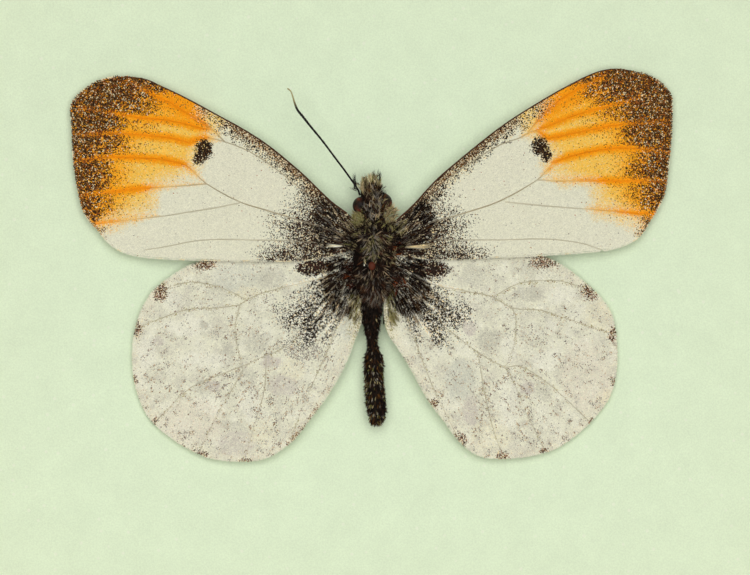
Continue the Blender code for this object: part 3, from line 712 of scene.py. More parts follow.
def ray_noise(at, wing, fineness, seed, reach=16):
    """Soft random values that run out over a wing as rays from its base, and change over the reach."""
    away = at - wing["base"]
    turn = np.arctan2(away[:, 1], wing["sign"] * away[:, 0]) + math.pi
    out = np.hypot(*away.T)
    return soft_noise(np.column_stack([turn * fineness, out / reach]), 1.0, seed)


def shares_of(weights):
    """The weights of each named shade as shares of one, and the shades' colours."""
    share = np.stack([np.clip(weight, 0, None) for weight in weights.values()], axis=1)
    share /= np.maximum(share.sum(axis=1, keepdims=True), 1e-9)
    return share, np.array([linear(SHADES[name]) for name in weights])


def picked(weights, rng):
    """One of the shades for each place, at random by weight. Soft shades are drawn to their mean there."""
    share, colours = shares_of(weights)
    chosen = (share.cumsum(axis=1) < rng.random((len(share), 1))).sum(axis=1)
    chosen = np.minimum(chosen, len(colours) - 1)
    soft = np.array([name in SOFT_SHADES for name in weights])
    soft_share = share * soft
    mean = soft_share @ colours / np.maximum(soft_share.sum(axis=1, keepdims=True), 1e-9)
    own = colours[chosen]
    drawn = own * (1 - SOFTNESS) + mean * SOFTNESS
    return np.where(soft[chosen][:, None], drawn, own)


def blended(weights):
    """The mean of the shades at each place, by their weights."""
    share, colours = shares_of(weights)
    return share @ colours


def lay_over(weights, cover, shades):
    """Puts a mix of shades over the weights, by how much of each place it covers."""
    for name in weights:
        weights[name] = weights[name] * (1 - cover)
    for name, part in shades.items():
        weights[name] = weights.get(name, 0 * cover) + part * cover


# The colour rules. Distances in them are in steps of the picture, and a noise's last number is its seed.


def lay_orange(weights, orange, vein, on_vein, tip_depth, costa, wander):
    """The orange field: pale between its veins, bold along them, and dusted with brown near the tip."""
    pale_cell = ramp(vein, 2.5, 7.5) * ramp(-tip_depth, 0, 30) * ramp(costa, 14, 30)
    lay_over(weights, orange, {"yellow": 0.5 - 0.1 * pale_cell, "orange": 0.47 - 0.4 * pale_cell})
    lay_over(weights, 0.42 * orange * pale_cell, {"straw": 0.9, "cream": 0.1})
    lay_over(weights, 1.4 * orange * (1 - orange), {"straw": 0.7, "cream": 0.3})
    bold = ramp(orange, 0.5, 1.0)
    lay_over(weights, bold * ramp(26 - costa, 0, 14) * 0.5, {"orange": 0.75, "deep_orange": 0.25})
    lay_over(weights, (orange - bold) * on_vein * 0.6, {"yellow": 0.7, "straw": 0.3})
    lay_over(weights, bold * on_vein * 0.88, {"orange": 0.65, "deep_orange": 0.35})
    near = orange * (1 - on_vein) * ramp(tip_depth + 14 * wander, -44, 0)
    dust = {"sepia": 0.24, "bronze": 0.3, "rust": 0.34, "bark": 0.12}
    lay_over(weights, 0.003 + 0.008 * orange + 0.15 * near, dust)


def lay_dark_tip(weights, at, dark, on_vein, tip_depth):
    """The dark tip, with orange along its veins and inner side, and small pale glints."""
    ground = {
        "bark": 0.48 - 0.16 * on_vein,
        "black": 0.12 - 0.1 * on_vein,
        "sepia": 0.2,
        "bronze": 0.13,
        "rust": 0.09 + 0.2 * on_vein,
        "orange": 0.03 + 0.18 * on_vein,
        "fleck": 0.03,
    }
    lay_over(weights, dark * 0.97, ground)
    fine = ramp(soft_noise(at, 1.6, 13), 0.04, 0.2)
    inside = ramp(24 - tip_depth, 0, 22)
    lay_over(weights, dark * fine * inside * 0.85, {"orange": 0.62, "rust": 0.22, "straw": 0.16})
    lay_over(weights, dark * fine * (1 - inside) * 0.24, {"bronze": 0.6, "rust": 0.2, "orange": 0.2})
    glint = ramp(soft_noise(at, 1.5, 14), 0.18, 0.3)
    lay_over(weights, dark * glint * 0.36, {"fleck": 0.9, "straw": 0.1})
    lay_over(weights, dark * on_vein * ramp(26 - tip_depth, 0, 20) * 0.5, {"orange": 0.6, "rust": 0.4})


def lay_spots(weights, at, spots):
    """The two dark spots that run into each other at the end of the forewing's cell."""
    grain = soft_noise(at, 2.0, 3)
    for oval in spots:
        spot = ramp(-oval_reach(at, oval) - 0.35 * grain, -1.6, -0.75)
        lay_over(weights, spot * 0.95, {"black": 0.5, "bark": 0.3, "sepia": 0.14, "fleck": 0.06})


def lay_leading_edge(weights, at, orange, costa, wander, ragged):
    """The dark dust along the leading edge, and the straw edge of the orange field."""
    out = np.abs(at[:, 0] - MIDDLE_SEEN[0])
    along = ramp(170 - out - 20 * wander, -14, 14)
    outer = ramp(14 + 7 * ragged - costa, -4, 6) * along
    lay_over(weights, outer * 0.8, {"black": 0.4, "bark": 0.14, "cream": 0.24, "fleck": 0.22})
    inner = ramp(6.5 + 3 * ragged - costa, -1.5, 1.5) * along * ramp(146 - out, -10, 10)
    dust = {"bronze": 0.16, "brown": 0.2, "black": 0.34, "beige": 0.12, "fleck": 0.18}
    lay_over(weights, inner * 0.88, dust)
    edge = orange * (1 - orange) * ramp(22 - costa, 0, 8)
    lay_over(weights, edge * 2.4, {"straw": 0.5, "yellow": 0.16, "cream": 0.16, "bark": 0.18})


def forewing_weights(wing, flat):
    """How much of each shade a forewing has at each place: white, then an orange field, and a dark tip."""
    at = in_picture(flat)
    marks = wing["marks"]
    vein = nearest_gap(at, marks["veins"])
    on_vein = np.exp(-((vein / 2.6) ** 2))
    wander = soft_noise(at, 17, 1)
    ragged = soft_noise(at, 4.5, 2)
    costa = path_gap(at, wing["costa"])
    tip_depth = depth_in(at, marks["dark_tip"])
    dark = ramp(tip_depth + 10 * wander + 9 * ragged - 12 * on_vein, -15, 10)
    orange = ramp(depth_in(at, marks["orange"]) + 9 * wander + 4 * ragged + 6 * on_vein, -17, 15)
    level = np.zeros(len(at))
    weights = {"white": 0.92 + level, "chalk": 0.05 + level, "dove": 0.03 + level}
    lay_orange(weights, orange, vein, on_vein, tip_depth, costa, wander)
    lay_dark_tip(weights, at, dark, on_vein, tip_depth)
    lay_spots(weights, at, marks["spots"])
    lay_leading_edge(weights, at, orange, costa, wander, ragged)
    rays = ray_noise(at, wing, 14, 4)
    fan = ramp(depth_in(at, marks["fan"]) + 8 * wander + 4 * ragged + 18 * rays, -16, 38)
    base = {"black": 0.42, "umber": 0.32, "brown": 0.08, "grey": 0.05, "fleck": 0.13}
    lay_over(weights, fan * 0.95, base)
    return weights


def lay_clouds(weights, at, clouds, wander, ragged):
    """Grey, warm and chalky clouds: soft random ones, and larger ones where the picture shows them."""
    patchy = soft_noise(at, 9, 9)
    lay_over(weights, 0.3 * ramp(patchy, 0, 0.35), {"dove": 0.6, "lilac": 0.4})
    lay_over(weights, 0.3 * ramp(-patchy, 0, 0.35), {"chalk": 1.0})
    moved = at + 6 * np.stack([wander, ragged], axis=1)
    for cloud in clouds:
        shade, share = cloud[4:]
        lay_over(weights, in_patch(moved, cloud, 0.28) * share, {shade: 1.0})


def lay_litter(weights, at, wing, wander, ragged):
    """Short grey strokes that run out from the base, denser low on the wing, and the thin veins."""
    low = ramp(at[:, 1] + 40 * wander, 320, 390)
    strokes = ray_noise(at, wing, 100, 11, 5)
    litter = ramp(strokes + 0.5 * wander + 0.5 * ragged, 0.1, 0.4)
    cover = (0.02 + 0.42 * litter) * (0.4 + 0.6 * low)
    lay_over(weights, cover, {"grey": 0.48, "beige": 0.36, "brown": 0.16})
    line = ramp(1.8 - nearest_gap(at, wing["marks"]["veins"]), -1, 1)
    lay_over(weights, 0.2 * line * (1 - 0.6 * low), {"hay": 0.6, "olive": 0.2, "brown": 0.2})


def lay_small_marks(weights, at, marks, wander, ragged):
    """Brown patches along the edge, small grey specks, and a brown line near the body."""
    moved = at + 4 * np.stack([ragged, wander], axis=1)
    for patch in marks["edge_patches"]:
        cover = in_patch(moved, patch, 0.4)
        lay_over(weights, cover * 0.72, {"bark": 0.4, "brown": 0.3, "salmon": 0.15, "fleck": 0.15})
    for speck in marks["specks"]:
        cover = in_patch(at, speck, 0.6)
        lay_over(weights, cover * 0.35, {"grey": 0.5, "umber": 0.2, "bronze": 0.3})
    line = ramp(1.6 - path_gap(at, marks["edge_line"]), -1, 1)
    lay_over(weights, line * 0.5, {"brown": 0.6, "beige": 0.4})


def lay_dark_base(weights, at, wing, wander, ragged):
    """The dark base in rays, with pale flecks, a dark oval beside the body, and pale lines across."""
    marks = wing["marks"]
    rays = ray_noise(at, wing, 16, 8)
    depth = depth_in(at, marks["fan"]) + 8 * wander
    fan = ramp(depth + 4 * ragged + 30 * rays, -18, 16)
    lay_over(weights, fan**1.3 * 0.94, {"black": 0.62, "umber": 0.26, "fleck": 0.06, "chalk": 0.06})
    core = ramp(depth, 4, 26)
    flecks = ramp(soft_noise(at, 1.3, 12), 0.04, 0.16)
    lay_over(weights, fan * flecks * (0.8 - 0.5 * core), {"chalk": 0.75, "fleck": 0.25})
    grain = soft_noise(at, 2.2, 7)
    blot = ramp(-oval_reach(at, marks["ellipse"]) - 0.3 * grain, -1.3, -0.8)
    lay_over(weights, blot * 0.95, {"black": 0.5, "umber": 0.36, "russet": 0.08, "fleck": 0.06})
    pale = ramp(1.5 - nearest_gap(at, marks["pale_lines"]), -0.8, 0.7)
    lay_over(weights, 0.8 * pale, {"chalk": 0.7, "fleck": 0.3})


def hindwing_weights(wing, flat):
    """How much of each shade a hindwing has at each place: off-white, with grey clouds and a dark base."""
    at = in_picture(flat)
    marks = wing["marks"]
    ragged = soft_noise(at, 4.5, 5)
    wander = soft_noise(at, 15, 6)
    level = np.zeros(len(at))
    weights = {"white": 0.74 + level, "chalk": 0.12 + level, "dove": 0.14 + 0.4 * wander + 0.5 * ragged}
    depth = depth_in(flat, wing["loop"]) / MM_PER_SEEN
    lay_over(weights, 0.2 * ramp(9 - depth, -4, 6), {"cream": 0.6, "pink": 0.4})
    lay_clouds(weights, at, marks["clouds"], wander, ragged)
    lay_litter(weights, at, wing, wander, ragged)
    lay_small_marks(weights, at, marks, wander, ragged)
    lay_dark_base(weights, at, wing, wander, ragged)
    inner = ramp(24 - np.abs(at[:, 0] - MIDDLE_SEEN[0]) + 6 * ragged, -3, 6) * ramp(at[:, 1], 286, 296)
    lay_over(weights, inner * 0.4, {"olive": 0.2, "hay": 0.4, "moss": 0.1, "cream": 0.3})
    return weights


def wing_height(wing, x, y):
    """How far a wing's middle stands off the card: its fall, a slight wave, and a rise along each vein."""
    out = np.abs(x)
    if wing["kind"] == "fore":
        height = FOREWING_RISE - FOREWING_FALL_OUT * out
    else:
        height = HINDWING_RISE - HINDWING_FALL_OUT * out - HINDWING_FALL_TAIL * np.maximum(-y, 0)
    at = np.stack([x, y], axis=1)
    vein = nearest_gap(at, wing["veins"])
    wave = WAVE_HEIGHT * soft_noise(at, 5.0, wing["seed"])
    wave = wave + RIPPLE_HEIGHT * soft_noise(at, 1.6, wing["seed"] + 1)
    return height + wave + VEIN_RISE * np.exp(-((vein / VEIN_REACH) ** 2))


def make_wing(name, kind, side, outline, marks, seed):
    """A wing's lines in card space, and its marks and leading edge, the costa, in the picture."""
    sign = -1 if side == "left" else 1
    loop = np.array(smooth_loop(outline, OUTLINE_STEPS)) * (sign, 1)
    costa = np.array(smooth_path(outline[LEADING_EDGE], OUTLINE_STEPS)) * (sign, 1)
    return {
        "name": name,
        "kind": kind,
        "sign": sign,
        "loop": loop,
        "costa": in_picture(costa),
        "marks": marks,
        "veins": [on_card(smooth_path(path, 3)) for path in marks["veins"]],
        "middle": loop.mean(axis=0),
        "root": np.array([sign * WING_ROOT_X, WING_ROOT_Y[kind]]),
        "base": np.array([MIDDLE_SEEN[0] + sign * RAYS_OUT_SEEN, RAYS_DOWN_SEEN[kind]]),
        "weights": forewing_weights if kind == "fore" else hindwing_weights,
        "seed": seed,
    }


def deselect():
    if bpy.context.mode != "OBJECT":
        bpy.ops.object.mode_set(mode="OBJECT")
    bpy.ops.object.select_all(action="DESELECT")


def activate(obj):
    deselect()
    obj.select_set(True)
    bpy.context.view_layer.objects.active = obj


def apply_modifier(obj, kind, **settings):
    activate(obj)
    modifier = obj.modifiers.new(kind.title(), kind)
    for key, value in settings.items():
        setattr(modifier, key, value)
    bpy.ops.object.modifier_apply(modifier=modifier.name)


def settle(obj):
    """Brings the object to the origin, with its place in its mesh."""
    activate(obj)
    bpy.ops.object.transform_apply(location=True, rotation=True, scale=True)


def smooth(obj, degrees=35):
    activate(obj)
    bpy.ops.object.shade_smooth_by_angle(angle=math.radians(degrees))


def close_seams(obj, gap):
    """Merges doubled vertices and turns the faces outwards."""
    activate(obj)
    bpy.ops.object.mode_set(mode="EDIT")
    bpy.ops.mesh.select_all(action="SELECT")
    bpy.ops.mesh.remove_doubles(threshold=gap)
    bpy.ops.mesh.normals_make_consistent(inside=False)
    bpy.ops.object.mode_set(mode="OBJECT")


def join(pieces):
    activate(pieces[0])
    for piece in pieces[1:]:
        piece.select_set(True)
    bpy.ops.object.join()
    return pieces[0]


def wear(obj, material):
    obj.data.materials.clear()
    obj.data.materials.append(material)


def add_piece(obj, name, material, stands_for=()):
    """Gives a finished piece its material and name, and ties it to the part."""
    wear(obj, material)
    obj.name = name
    obj.data.name = name
    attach(obj, "root")
    if stands_for:
        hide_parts(*stands_for)


def mesh_piece(name, points, faces):
    """An object made of many small shapes, from their points in card space."""
    mesh = bpy.data.meshes.new(name)
    mesh.from_pydata(card_to_world(points), [], faces)
    mesh.update()
    obj = bpy.data.objects.new(name, mesh)
    bpy.context.scene.collection.objects.link(obj)
    return obj


def vertex_places(obj):
    return np.array([vertex.co for vertex in obj.data.vertices])


def move_vertices(obj, places):
    obj.data.vertices.foreach_set("co", places.astype(np.float32).ravel())
    obj.data.update()


def tint(obj, colours):
    """Keeps a colour for each vertex, which the material reads."""
    layer = obj.data.color_attributes.new("tint", "FLOAT_COLOR", "POINT")
    filled = np.concatenate([colours, np.ones((len(colours), 1))], axis=1)
    layer.data.foreach_set("color", filled.astype(np.float32).ravel())


def corner_colours(colours, shades):
    """A colour for every corner of many small shapes: each shape's own, times the corner's painted shade."""
    return (colours[:, None, :] * np.array(shades)[None, :, None]).reshape(-1, 3)


def loop_points(loop, shares):
    """Places along a closed line, at shares of its length."""
    closed = np.vstack([loop, loop[:1]])
    length = np.concatenate([[0], np.hypot(*np.diff(closed, axis=0).T).cumsum()])
    along = np.asarray(shares) % 1.0 * length[-1]
    return np.stack([np.interp(along, length, closed[:, 0]), np.interp(along, length, closed[:, 1])], axis=1)


def add_wing_sheet(wing):
    """The wing's membrane: a grid wrapped from the middle out to the edge, closed, then given thickness."""
    deselect()
    bpy.ops.mesh.primitive_grid_add(x_subdivisions=SHEET_AROUND, y_subdivisions=SHEET_RINGS, size=2)
    obj = bpy.context.object
    grid = vertex_places(obj)
    shares = (grid[:, 0] + 1) / 2
    rings = (grid[:, 1] + 1) / 2
    rim = loop_points(wing["loop"], np.where(shares > 0.99999, 0.0, shares))
    spoke = rim - wing["middle"]
    spoke *= 1 - SHEET_INSET / np.hypot(*spoke.T)[:, None]
    flat = wing["middle"] + spoke * rings[:, None]
    height = wing_height(wing, *flat.T)
    move_vertices(obj, card_to_world(np.column_stack([flat, height])))
    close_seams(obj, 0.002 * MM)
    if obj.data.polygons[0].normal.y > 0:
        obj.data.flip_normals()
    apply_modifier(obj, "SOLIDIFY", thickness=SHEET_THICKNESS * MM, offset=-1.0)
    flat = flat_places(obj)
    tint(obj, blended(wing["weights"](wing, flat)))
    smooth(obj, 50)
    return obj


def add_tube(points, radii, sides):
    """A tapering tube in card space, with closed ends."""
    curve = bpy.data.curves.new("tube", "CURVE")
    curve.dimensions = "3D"
    curve.bevel_depth = MM
    curve.bevel_resolution = sides
    curve.use_fill_caps = True
    spline = curve.splines.new("POLY")
    spline.points.add(len(points) - 1)
    for point, place, radius in zip(spline.points, card_to_world(points), radii):
        point.co = (*place, 1)
        point.radius = radius
    obj = bpy.data.objects.new("tube", curve)
    bpy.context.scene.collection.objects.link(obj)
    activate(obj)
    bpy.ops.object.convert(target="MESH")
    obj = bpy.context.object
    close_seams(obj, 0.0005 * MM)
    return obj


def add_veins(wing):
    """The veins as thin raised tubes, half sunk in the membrane, and the dark one along the leading edge."""
    tubes = []
    for number, path in enumerate(wing["veins"]):
        thick = VEIN_RADIUS[wing["kind"]] * (FIRST_VEIN_SHARE if number == 0 else 1.0)
        radii = thick * (1 - VEIN_NARROWING * np.linspace(0, 1, len(path)))
        height = wing_height(wing, *path.T) + VEIN_LIFT
        tubes.append(add_tube(np.column_stack([path, height]), radii, 1))
    obj = join(tubes)
    flat = flat_places(obj)
    weights = wing["weights"](wing, flat)
    tone = VEIN_TONE[wing["kind"]] * np.ones(len(flat))
    for number in wing["marks"].get("faint", ()):
        tone[path_gap(flat, wing["veins"][number]) < FAINT_REACH] *= FAINT_SHARE
    lay_over(weights, tone * weights["white"], {"bronze": 0.3, "hay": 0.5, "grey": 0.2})
    tint(obj, blended(weights))
    if wing["kind"] == "fore":
        obj = join([obj, add_leading_edge(wing)])
    smooth(obj, 60)
    return obj


def add_leading_edge(wing):
    path = on_card(wing["costa"])
    height = wing_height(wing, *path.T) + LEADING_EDGE_LIFT
    radii = LEADING_EDGE_RADIUS - LEADING_EDGE_NARROWING * np.linspace(0, 1, len(path))
    obj = add_tube(np.column_stack([path, height]), radii, 1)
    dark = np.ones(len(obj.data.vertices))
    tint(obj, blended({"umber": 0.6 * dark, "brown": 0.4 * dark}))
    return obj


def flat_places(obj):
    """Across and up the card, in millimetres, of an object's vertices."""
    places = vertex_places(obj) / MM
    return places[:, [0, 2]] - (SPECIMEN_X, FRAME_CENTRE_Z + SPECIMEN_ABOVE_CENTRE)


def directions(headings):
    """A unit step along each heading, and one across it."""
    along = np.stack([np.cos(headings), np.sin(headings)], axis=1)
    across = np.stack([-np.sin(headings), np.cos(headings)], axis=1)
    return along, across


def scale_places(wing, rng):
    """Where the scales stand: staggered rows over the whole wing, each moved a little."""
    low = wing["loop"].min(axis=0)
    high = wing["loop"].max(axis=0)
    columns = np.arange(low[0], high[0], SCALE_PITCH)
    rows = np.arange(low[1], high[1], SCALE_PITCH)
    x, y = np.meshgrid(columns, rows)
    x[1::2] += SCALE_PITCH / 2
    flat = np.stack([x.ravel(), y.ravel()], axis=1)
    flat += rng.uniform(-SCALE_SCATTER, SCALE_SCATTER, flat.shape) * SCALE_PITCH
    return flat[depth_in(flat, wing["loop"]) > SCALE_EDGE_GAP]


def fringe_places(wing):
    """Where the longer scales of the fringe stand, along the whole edge except the leading one."""
    length = np.hypot(*(np.roll(wing["loop"], -1, axis=0) - wing["loop"]).T).sum()
    rim = loop_points(wing["loop"], np.arange(0, 1, FRINGE_STEP / length))
    away = rim - wing["middle"]
    rim = rim - away / np.hypot(*away.T)[:, None] * FRINGE_INSET
    if wing["kind"] == "fore":
        return rim[path_gap(rim, on_card(wing["costa"])) > FRINGE_OFF_LEADING_EDGE]
    return rim[rim[:, 1] < 0]


def add_scales(wing):
    """Thousands of overlapping leaf-shaped scales that carry the wing's colours, and the edge's fringe."""
    rng = np.random.default_rng(wing["seed"])
    inside = scale_places(wing, rng)
    fringe = fringe_places(wing)
    flat = np.vstack([inside, fringe])
    is_fringe = np.arange(len(flat)) >= len(inside)
    weights = wing["weights"](wing, flat)
    if wing["kind"] == "fore":
        pale = is_fringe * ramp(soft_noise(in_picture(flat), 7, 15), 0.04, 0.14)
        lay_over(weights, pale * 0.75, {"fleck": 0.6, "cream": 0.4})
    colours = picked(weights, rng) * rng.normal(1.0, 0.06, (len(flat), 1))
    vein = nearest_gap(flat, wing["veins"])
    dark = 1 - ramp(blended(weights).mean(axis=1), 0.15, 0.5)
    kept = (vein > VEIN_BARE) | (weights["white"] < 0.5)
    flat, is_fringe, colours, dark = flat[kept], is_fringe[kept], colours[kept], dark[kept]
    away = flat - np.where(is_fringe[:, None], wing["middle"], wing["root"])
    heading = np.arctan2(away[:, 1], away[:, 0]) + rng.normal(0, 0.14 + 0.25 * dark)
    length = np.where(is_fringe, FRINGE_LENGTH, SCALE_LENGTH) * rng.uniform(0.8, 1.15, len(flat))
    width = np.where(is_fringe, FRINGE_WIDTH, SCALE_WIDTH) * rng.uniform(0.85, 1.15, len(flat))
    along, across = directions(heading)
    roll = rng.normal(0, 0.05 + 0.12 * dark)
    tip = SCALE_TIP_LIFT * rng.uniform(0.6, 1.6, len(flat)) * (1 + 0.8 * dark)
    root_height = wing_height(wing, *flat.T)
    slope = wing_height(wing, *(flat + along * length[:, None]).T) - root_height
    corners = []
    for far, aside in SCALE_LEAF:
        place = flat + along * (far * length)[:, None] + across * (aside * width)[:, None]
        lift = SCALE_LIFT + (tip + slope) * far + roll * aside * width
        corners.append(np.column_stack([place, root_height + lift]))
    points = np.stack(corners, axis=1).reshape(-1, 3)
    faces = [(i, i + 1, i + 2, i + 3) for i in (np.arange(len(flat)) * 4).tolist()]
    obj = mesh_piece(wing["name"] + "_scales", points, faces)
    # Each scale's colour carries painted shade at its root and painted light at its tip
    tint(obj, corner_colours(colours, SCALE_LEAF_PAINTED_SHADE))
    return obj


def add_wing(wing):
    sheet = join([add_wing_sheet(wing), add_veins(wing)])
    add_piece(sheet, wing["name"] + "_sheet", WING_SHEET, (wing["name"],))
    add_piece(add_scales(wing), wing["name"] + "_scales", WING_SCALES)


def add_hairs(name, roots, headings, lengths, radii, rises, droops, colours):
    """Closed three-sided hairs that taper to a point, as one mesh. Lengths and radii are millimetres."""
    count = len(roots)
    along, across = directions(headings)
    rings = []
    for share, narrow in HAIR_RINGS:
        middle = roots[:, :2] + along * (lengths * share)[:, None]
        height = roots[:, 2] + lengths * (rises * share - droops * share**2)
        for turn in HAIR_TURNS:
            aside = math.cos(turn * math.pi) * radii * narrow
            above = math.sin(turn * math.pi) * radii * narrow
            rings.append(np.column_stack([middle + across * aside[:, None], height + above]))
    end = roots[:, :2] + along * lengths[:, None]
    rings.append(np.column_stack([end, roots[:, 2] + lengths * (rises - droops)]))
    points = np.stack(rings, axis=1).reshape(-1, 3)
    faces = []
    for i in (np.arange(count) * 7).tolist():
        faces.append((i, i + 1, i + 2))
        for a, b in ((0, 1), (1, 2), (2, 0)):
            faces.append((i + b, i + a, i + 3 + a, i + 3 + b))
            faces.append((i + 3 + b, i + 3 + a, i + 6))
    obj = mesh_piece(name, points, faces)
    # Each hair's colour carries painted shade at its root and painted light at its tip
    tint(obj, corner_colours(colours, HAIR_PAINTED_SHADE))
    return obj


def ellipsoid_roots(middle, half, count, rng):
    """Roots over the front of an ellipsoid, and the way that its surface faces there."""
    facing = rng.normal(size=(count, 3))
    facing[:, 2] = np.abs(facing[:, 2])
    facing /= np.linalg.norm(facing, axis=1, keepdims=True)
    return np.asarray(middle) + facing * half, facing


def tuft_roots(patch, count, height, rng):
    """Roots in an oval patch of the picture."""
    middle_u, middle_v, half_u, half_v = oval_of(patch)
    spread = np.sqrt(rng.random(count))
    turn = rng.uniform(0, 2 * math.pi, count)
    u = middle_u + spread * np.cos(turn) * half_u
    v = middle_v + spread * np.sin(turn) * half_v
    return np.column_stack([on_card(np.stack([u, v], axis=1)), rng.uniform(*height, count)])


def mix_weights(mix, count):
    """The weights of a mix of hair shades, the same at every root."""
    return {name: np.full(count, part) for name, part in MIXES[mix].items()}


def hair_colours(weights, rng):
    """Picked shades, some hairs lighter and some darker."""
    count = len(next(iter(weights.values())))
    return picked(weights, rng) * rng.normal(1.0, 0.32, (count, 1)).clip(0.35, 1.8)


def add_clumps(name, roots, headings, lengths, radii, rises, colours, rng):
    """Clumps of hairs, from one value for each clump."""
    count = len(roots) * CLUMP
    roots = np.repeat(roots, CLUMP, axis=0) + rng.normal(0, CLUMP_SPREAD, (count, 3))
    headings = np.repeat(headings, CLUMP) + rng.normal(0, 0.09, count)
    lengths = np.repeat(lengths, CLUMP) * rng.uniform(0.75, 1.1, count)
    radii = np.repeat(radii, CLUMP) * rng.uniform(0.7, 1.2, count)
    rises = np.repeat(rises, CLUMP) + rng.normal(0, 0.05, count)
    colours = np.repeat(colours, CLUMP, axis=0) * rng.uniform(0.85, 1.15, (count, 1))
    return add_hairs(name, roots, headings, lengths, radii, rises, rises * 0.7, colours)


def add_tufts(group, wings):
    """A group of tufts as one piece, seeded by its name's length. Hair on a wing stays within its edge."""
    rng = np.random.default_rng(len(group))
    loops = [wing["loop"] for wing in wings if wing["kind"] == TUFT_WINGS.get(group)]
    parts = []
    for patch, count, height, heading, fan, lengths, radius, rise, mix in TUFTS[group]:
        roots = tuft_roots(patch, count, height, rng)
        if isinstance(heading, tuple):
            away = roots[:, :2] - on_card(heading)
            headings = np.arctan2(away[:, 1], away[:, 0])
        else:
            headings = np.full(count, math.radians(heading))
        headings = headings + np.radians(rng.normal(0, fan / 2, count))
        long = rng.uniform(*lengths, count)
        if loops:
            tips = roots[:, :2] + TUFT_REACH * long[:, None] * directions(headings)[0]
            depths = [np.minimum(depth_in(tips, loop), depth_in(roots[:, :2], loop)) for loop in loops]
            kept = np.max(depths, axis=0) > TUFT_EDGE_GAP
            roots, headings, long = roots[kept], headings[kept], long[kept]
        left = len(roots)
        colours = hair_colours(mix_weights(mix, left), rng)
        rises = rise + rng.uniform(-0.05, 0.1, left)
        parts.append(add_clumps("tuft", roots, headings, long, np.full(left, radius), rises, colours, rng))
    add_piece(join(parts), group + "_tufts", FUR)


def thorax_weights(at):
    """Shades of the thorax hair: black on the left, a grey-green stripe in the middle, brown on the right."""
    flat = np.ones(len(at))
    weights = {
        "black": 0.48 * flat,
        "umber": 0.26 * flat,
        "grey": 0.06 * flat,
        "hay": 0.07 * flat,
        "beige": 0.05 * flat,
        "russet": 0.08 * flat,
    }
    lay_over(weights, 0.9 * in_patch(at, (350, 367, 236, 286), 0.3), {"black": 0.86, "umber": 0.14})
    stripe = {"moss": 0.1, "olive": 0.08, "grey": 0.18, "beige": 0.16, "hay": 0.1, "black": 0.38}
    lay_over(weights, 0.9 * in_patch(at, (366, 379, 234, 263), 0.3), stripe)
    side = {"umber": 0.38, "black": 0.38, "hay": 0.1, "beige": 0.08, "russet": 0.06}
    lay_over(weights, 0.8 * in_patch(at, (380, 402, 230, 270), 0.3), side)
    lower = {"umber": 0.26, "black": 0.5, "grey": 0.07, "brown": 0.06, "beige": 0.11}
    lay_over(weights, 0.9 * in_patch(at, (356, 396, 262, 304), 0.3), lower)
    tail = {"grey": 0.4, "brown": 0.25, "umber": 0.35}
    lay_over(weights, 0.6 * in_patch(at, (365, 383, 287, 302), 0.3), tail)
    return weights


def add_thorax_fur():
    """Hair over the thorax that lies back towards the tail, and stands across it at the front."""
    rng = np.random.default_rng(THORAX_SEED)
    count = THORAX_CLUMPS
    roots, facing = ellipsoid_roots(THORAX_MIDDLE, THORAX_HALF, count, rng)
    roots[:, 0] = THORAX_MIDDLE[0] + THORAX_FUR_WIDTH * (roots[:, 0] - THORAX_MIDDLE[0])
    at = in_picture(roots[:, :2])
    tailward = 0.9 - 0.75 * ramp(roots[:, 1], 1.0, 2.2)
    headings = np.arctan2(-tailward, 1.1 * facing[:, 0]) + 2.4 * soft_noise(at, 5, 35)
    headings = headings + rng.normal(0, 0.4 + 0.4 * ramp(roots[:, 1], 0.8, 2.0))
    colours = hair_colours(thorax_weights(at), rng)
    lengths = rng.uniform(0.35, 0.85, count) * (1 - 0.5 * np.abs(facing[:, 0]))
    radii = rng.uniform(0.01, 0.015, count)
    rises = 0.3 * facing[:, 2].clip(0, 1) + rng.uniform(0, 0.2, count)
    obj = add_clumps("thorax_fur", roots, headings, lengths, radii, rises, colours, rng)
    add_piece(obj, "thorax_fur", FUR)


def add_head_fur():
    """Short hair on the head that points forward, between the eyes."""
    rng = np.random.default_rng(HEAD_SEED)
    roots, _ = ellipsoid_roots(HEAD_MIDDLE, HEAD_HALF, HEAD_CLUMPS, rng)
    roots = roots[np.abs(roots[:, 0] - HEAD_MIDDLE[0]) < HEAD_FUR_REACH]
    count = len(roots)
    headings = math.pi / 2 + rng.normal(0, 0.6, count)
    colours = hair_colours(mix_weights("crown", count), rng)
    lengths = rng.uniform(0.25, 0.5, count)
    radii = rng.uniform(0.012, 0.018, count)
    rises = 0.3 + rng.uniform(0, 0.3, count)
    obj = add_clumps("head_fur", roots, headings, lengths, radii, rises, colours, rng)
    add_piece(obj, "head_fur", FUR)


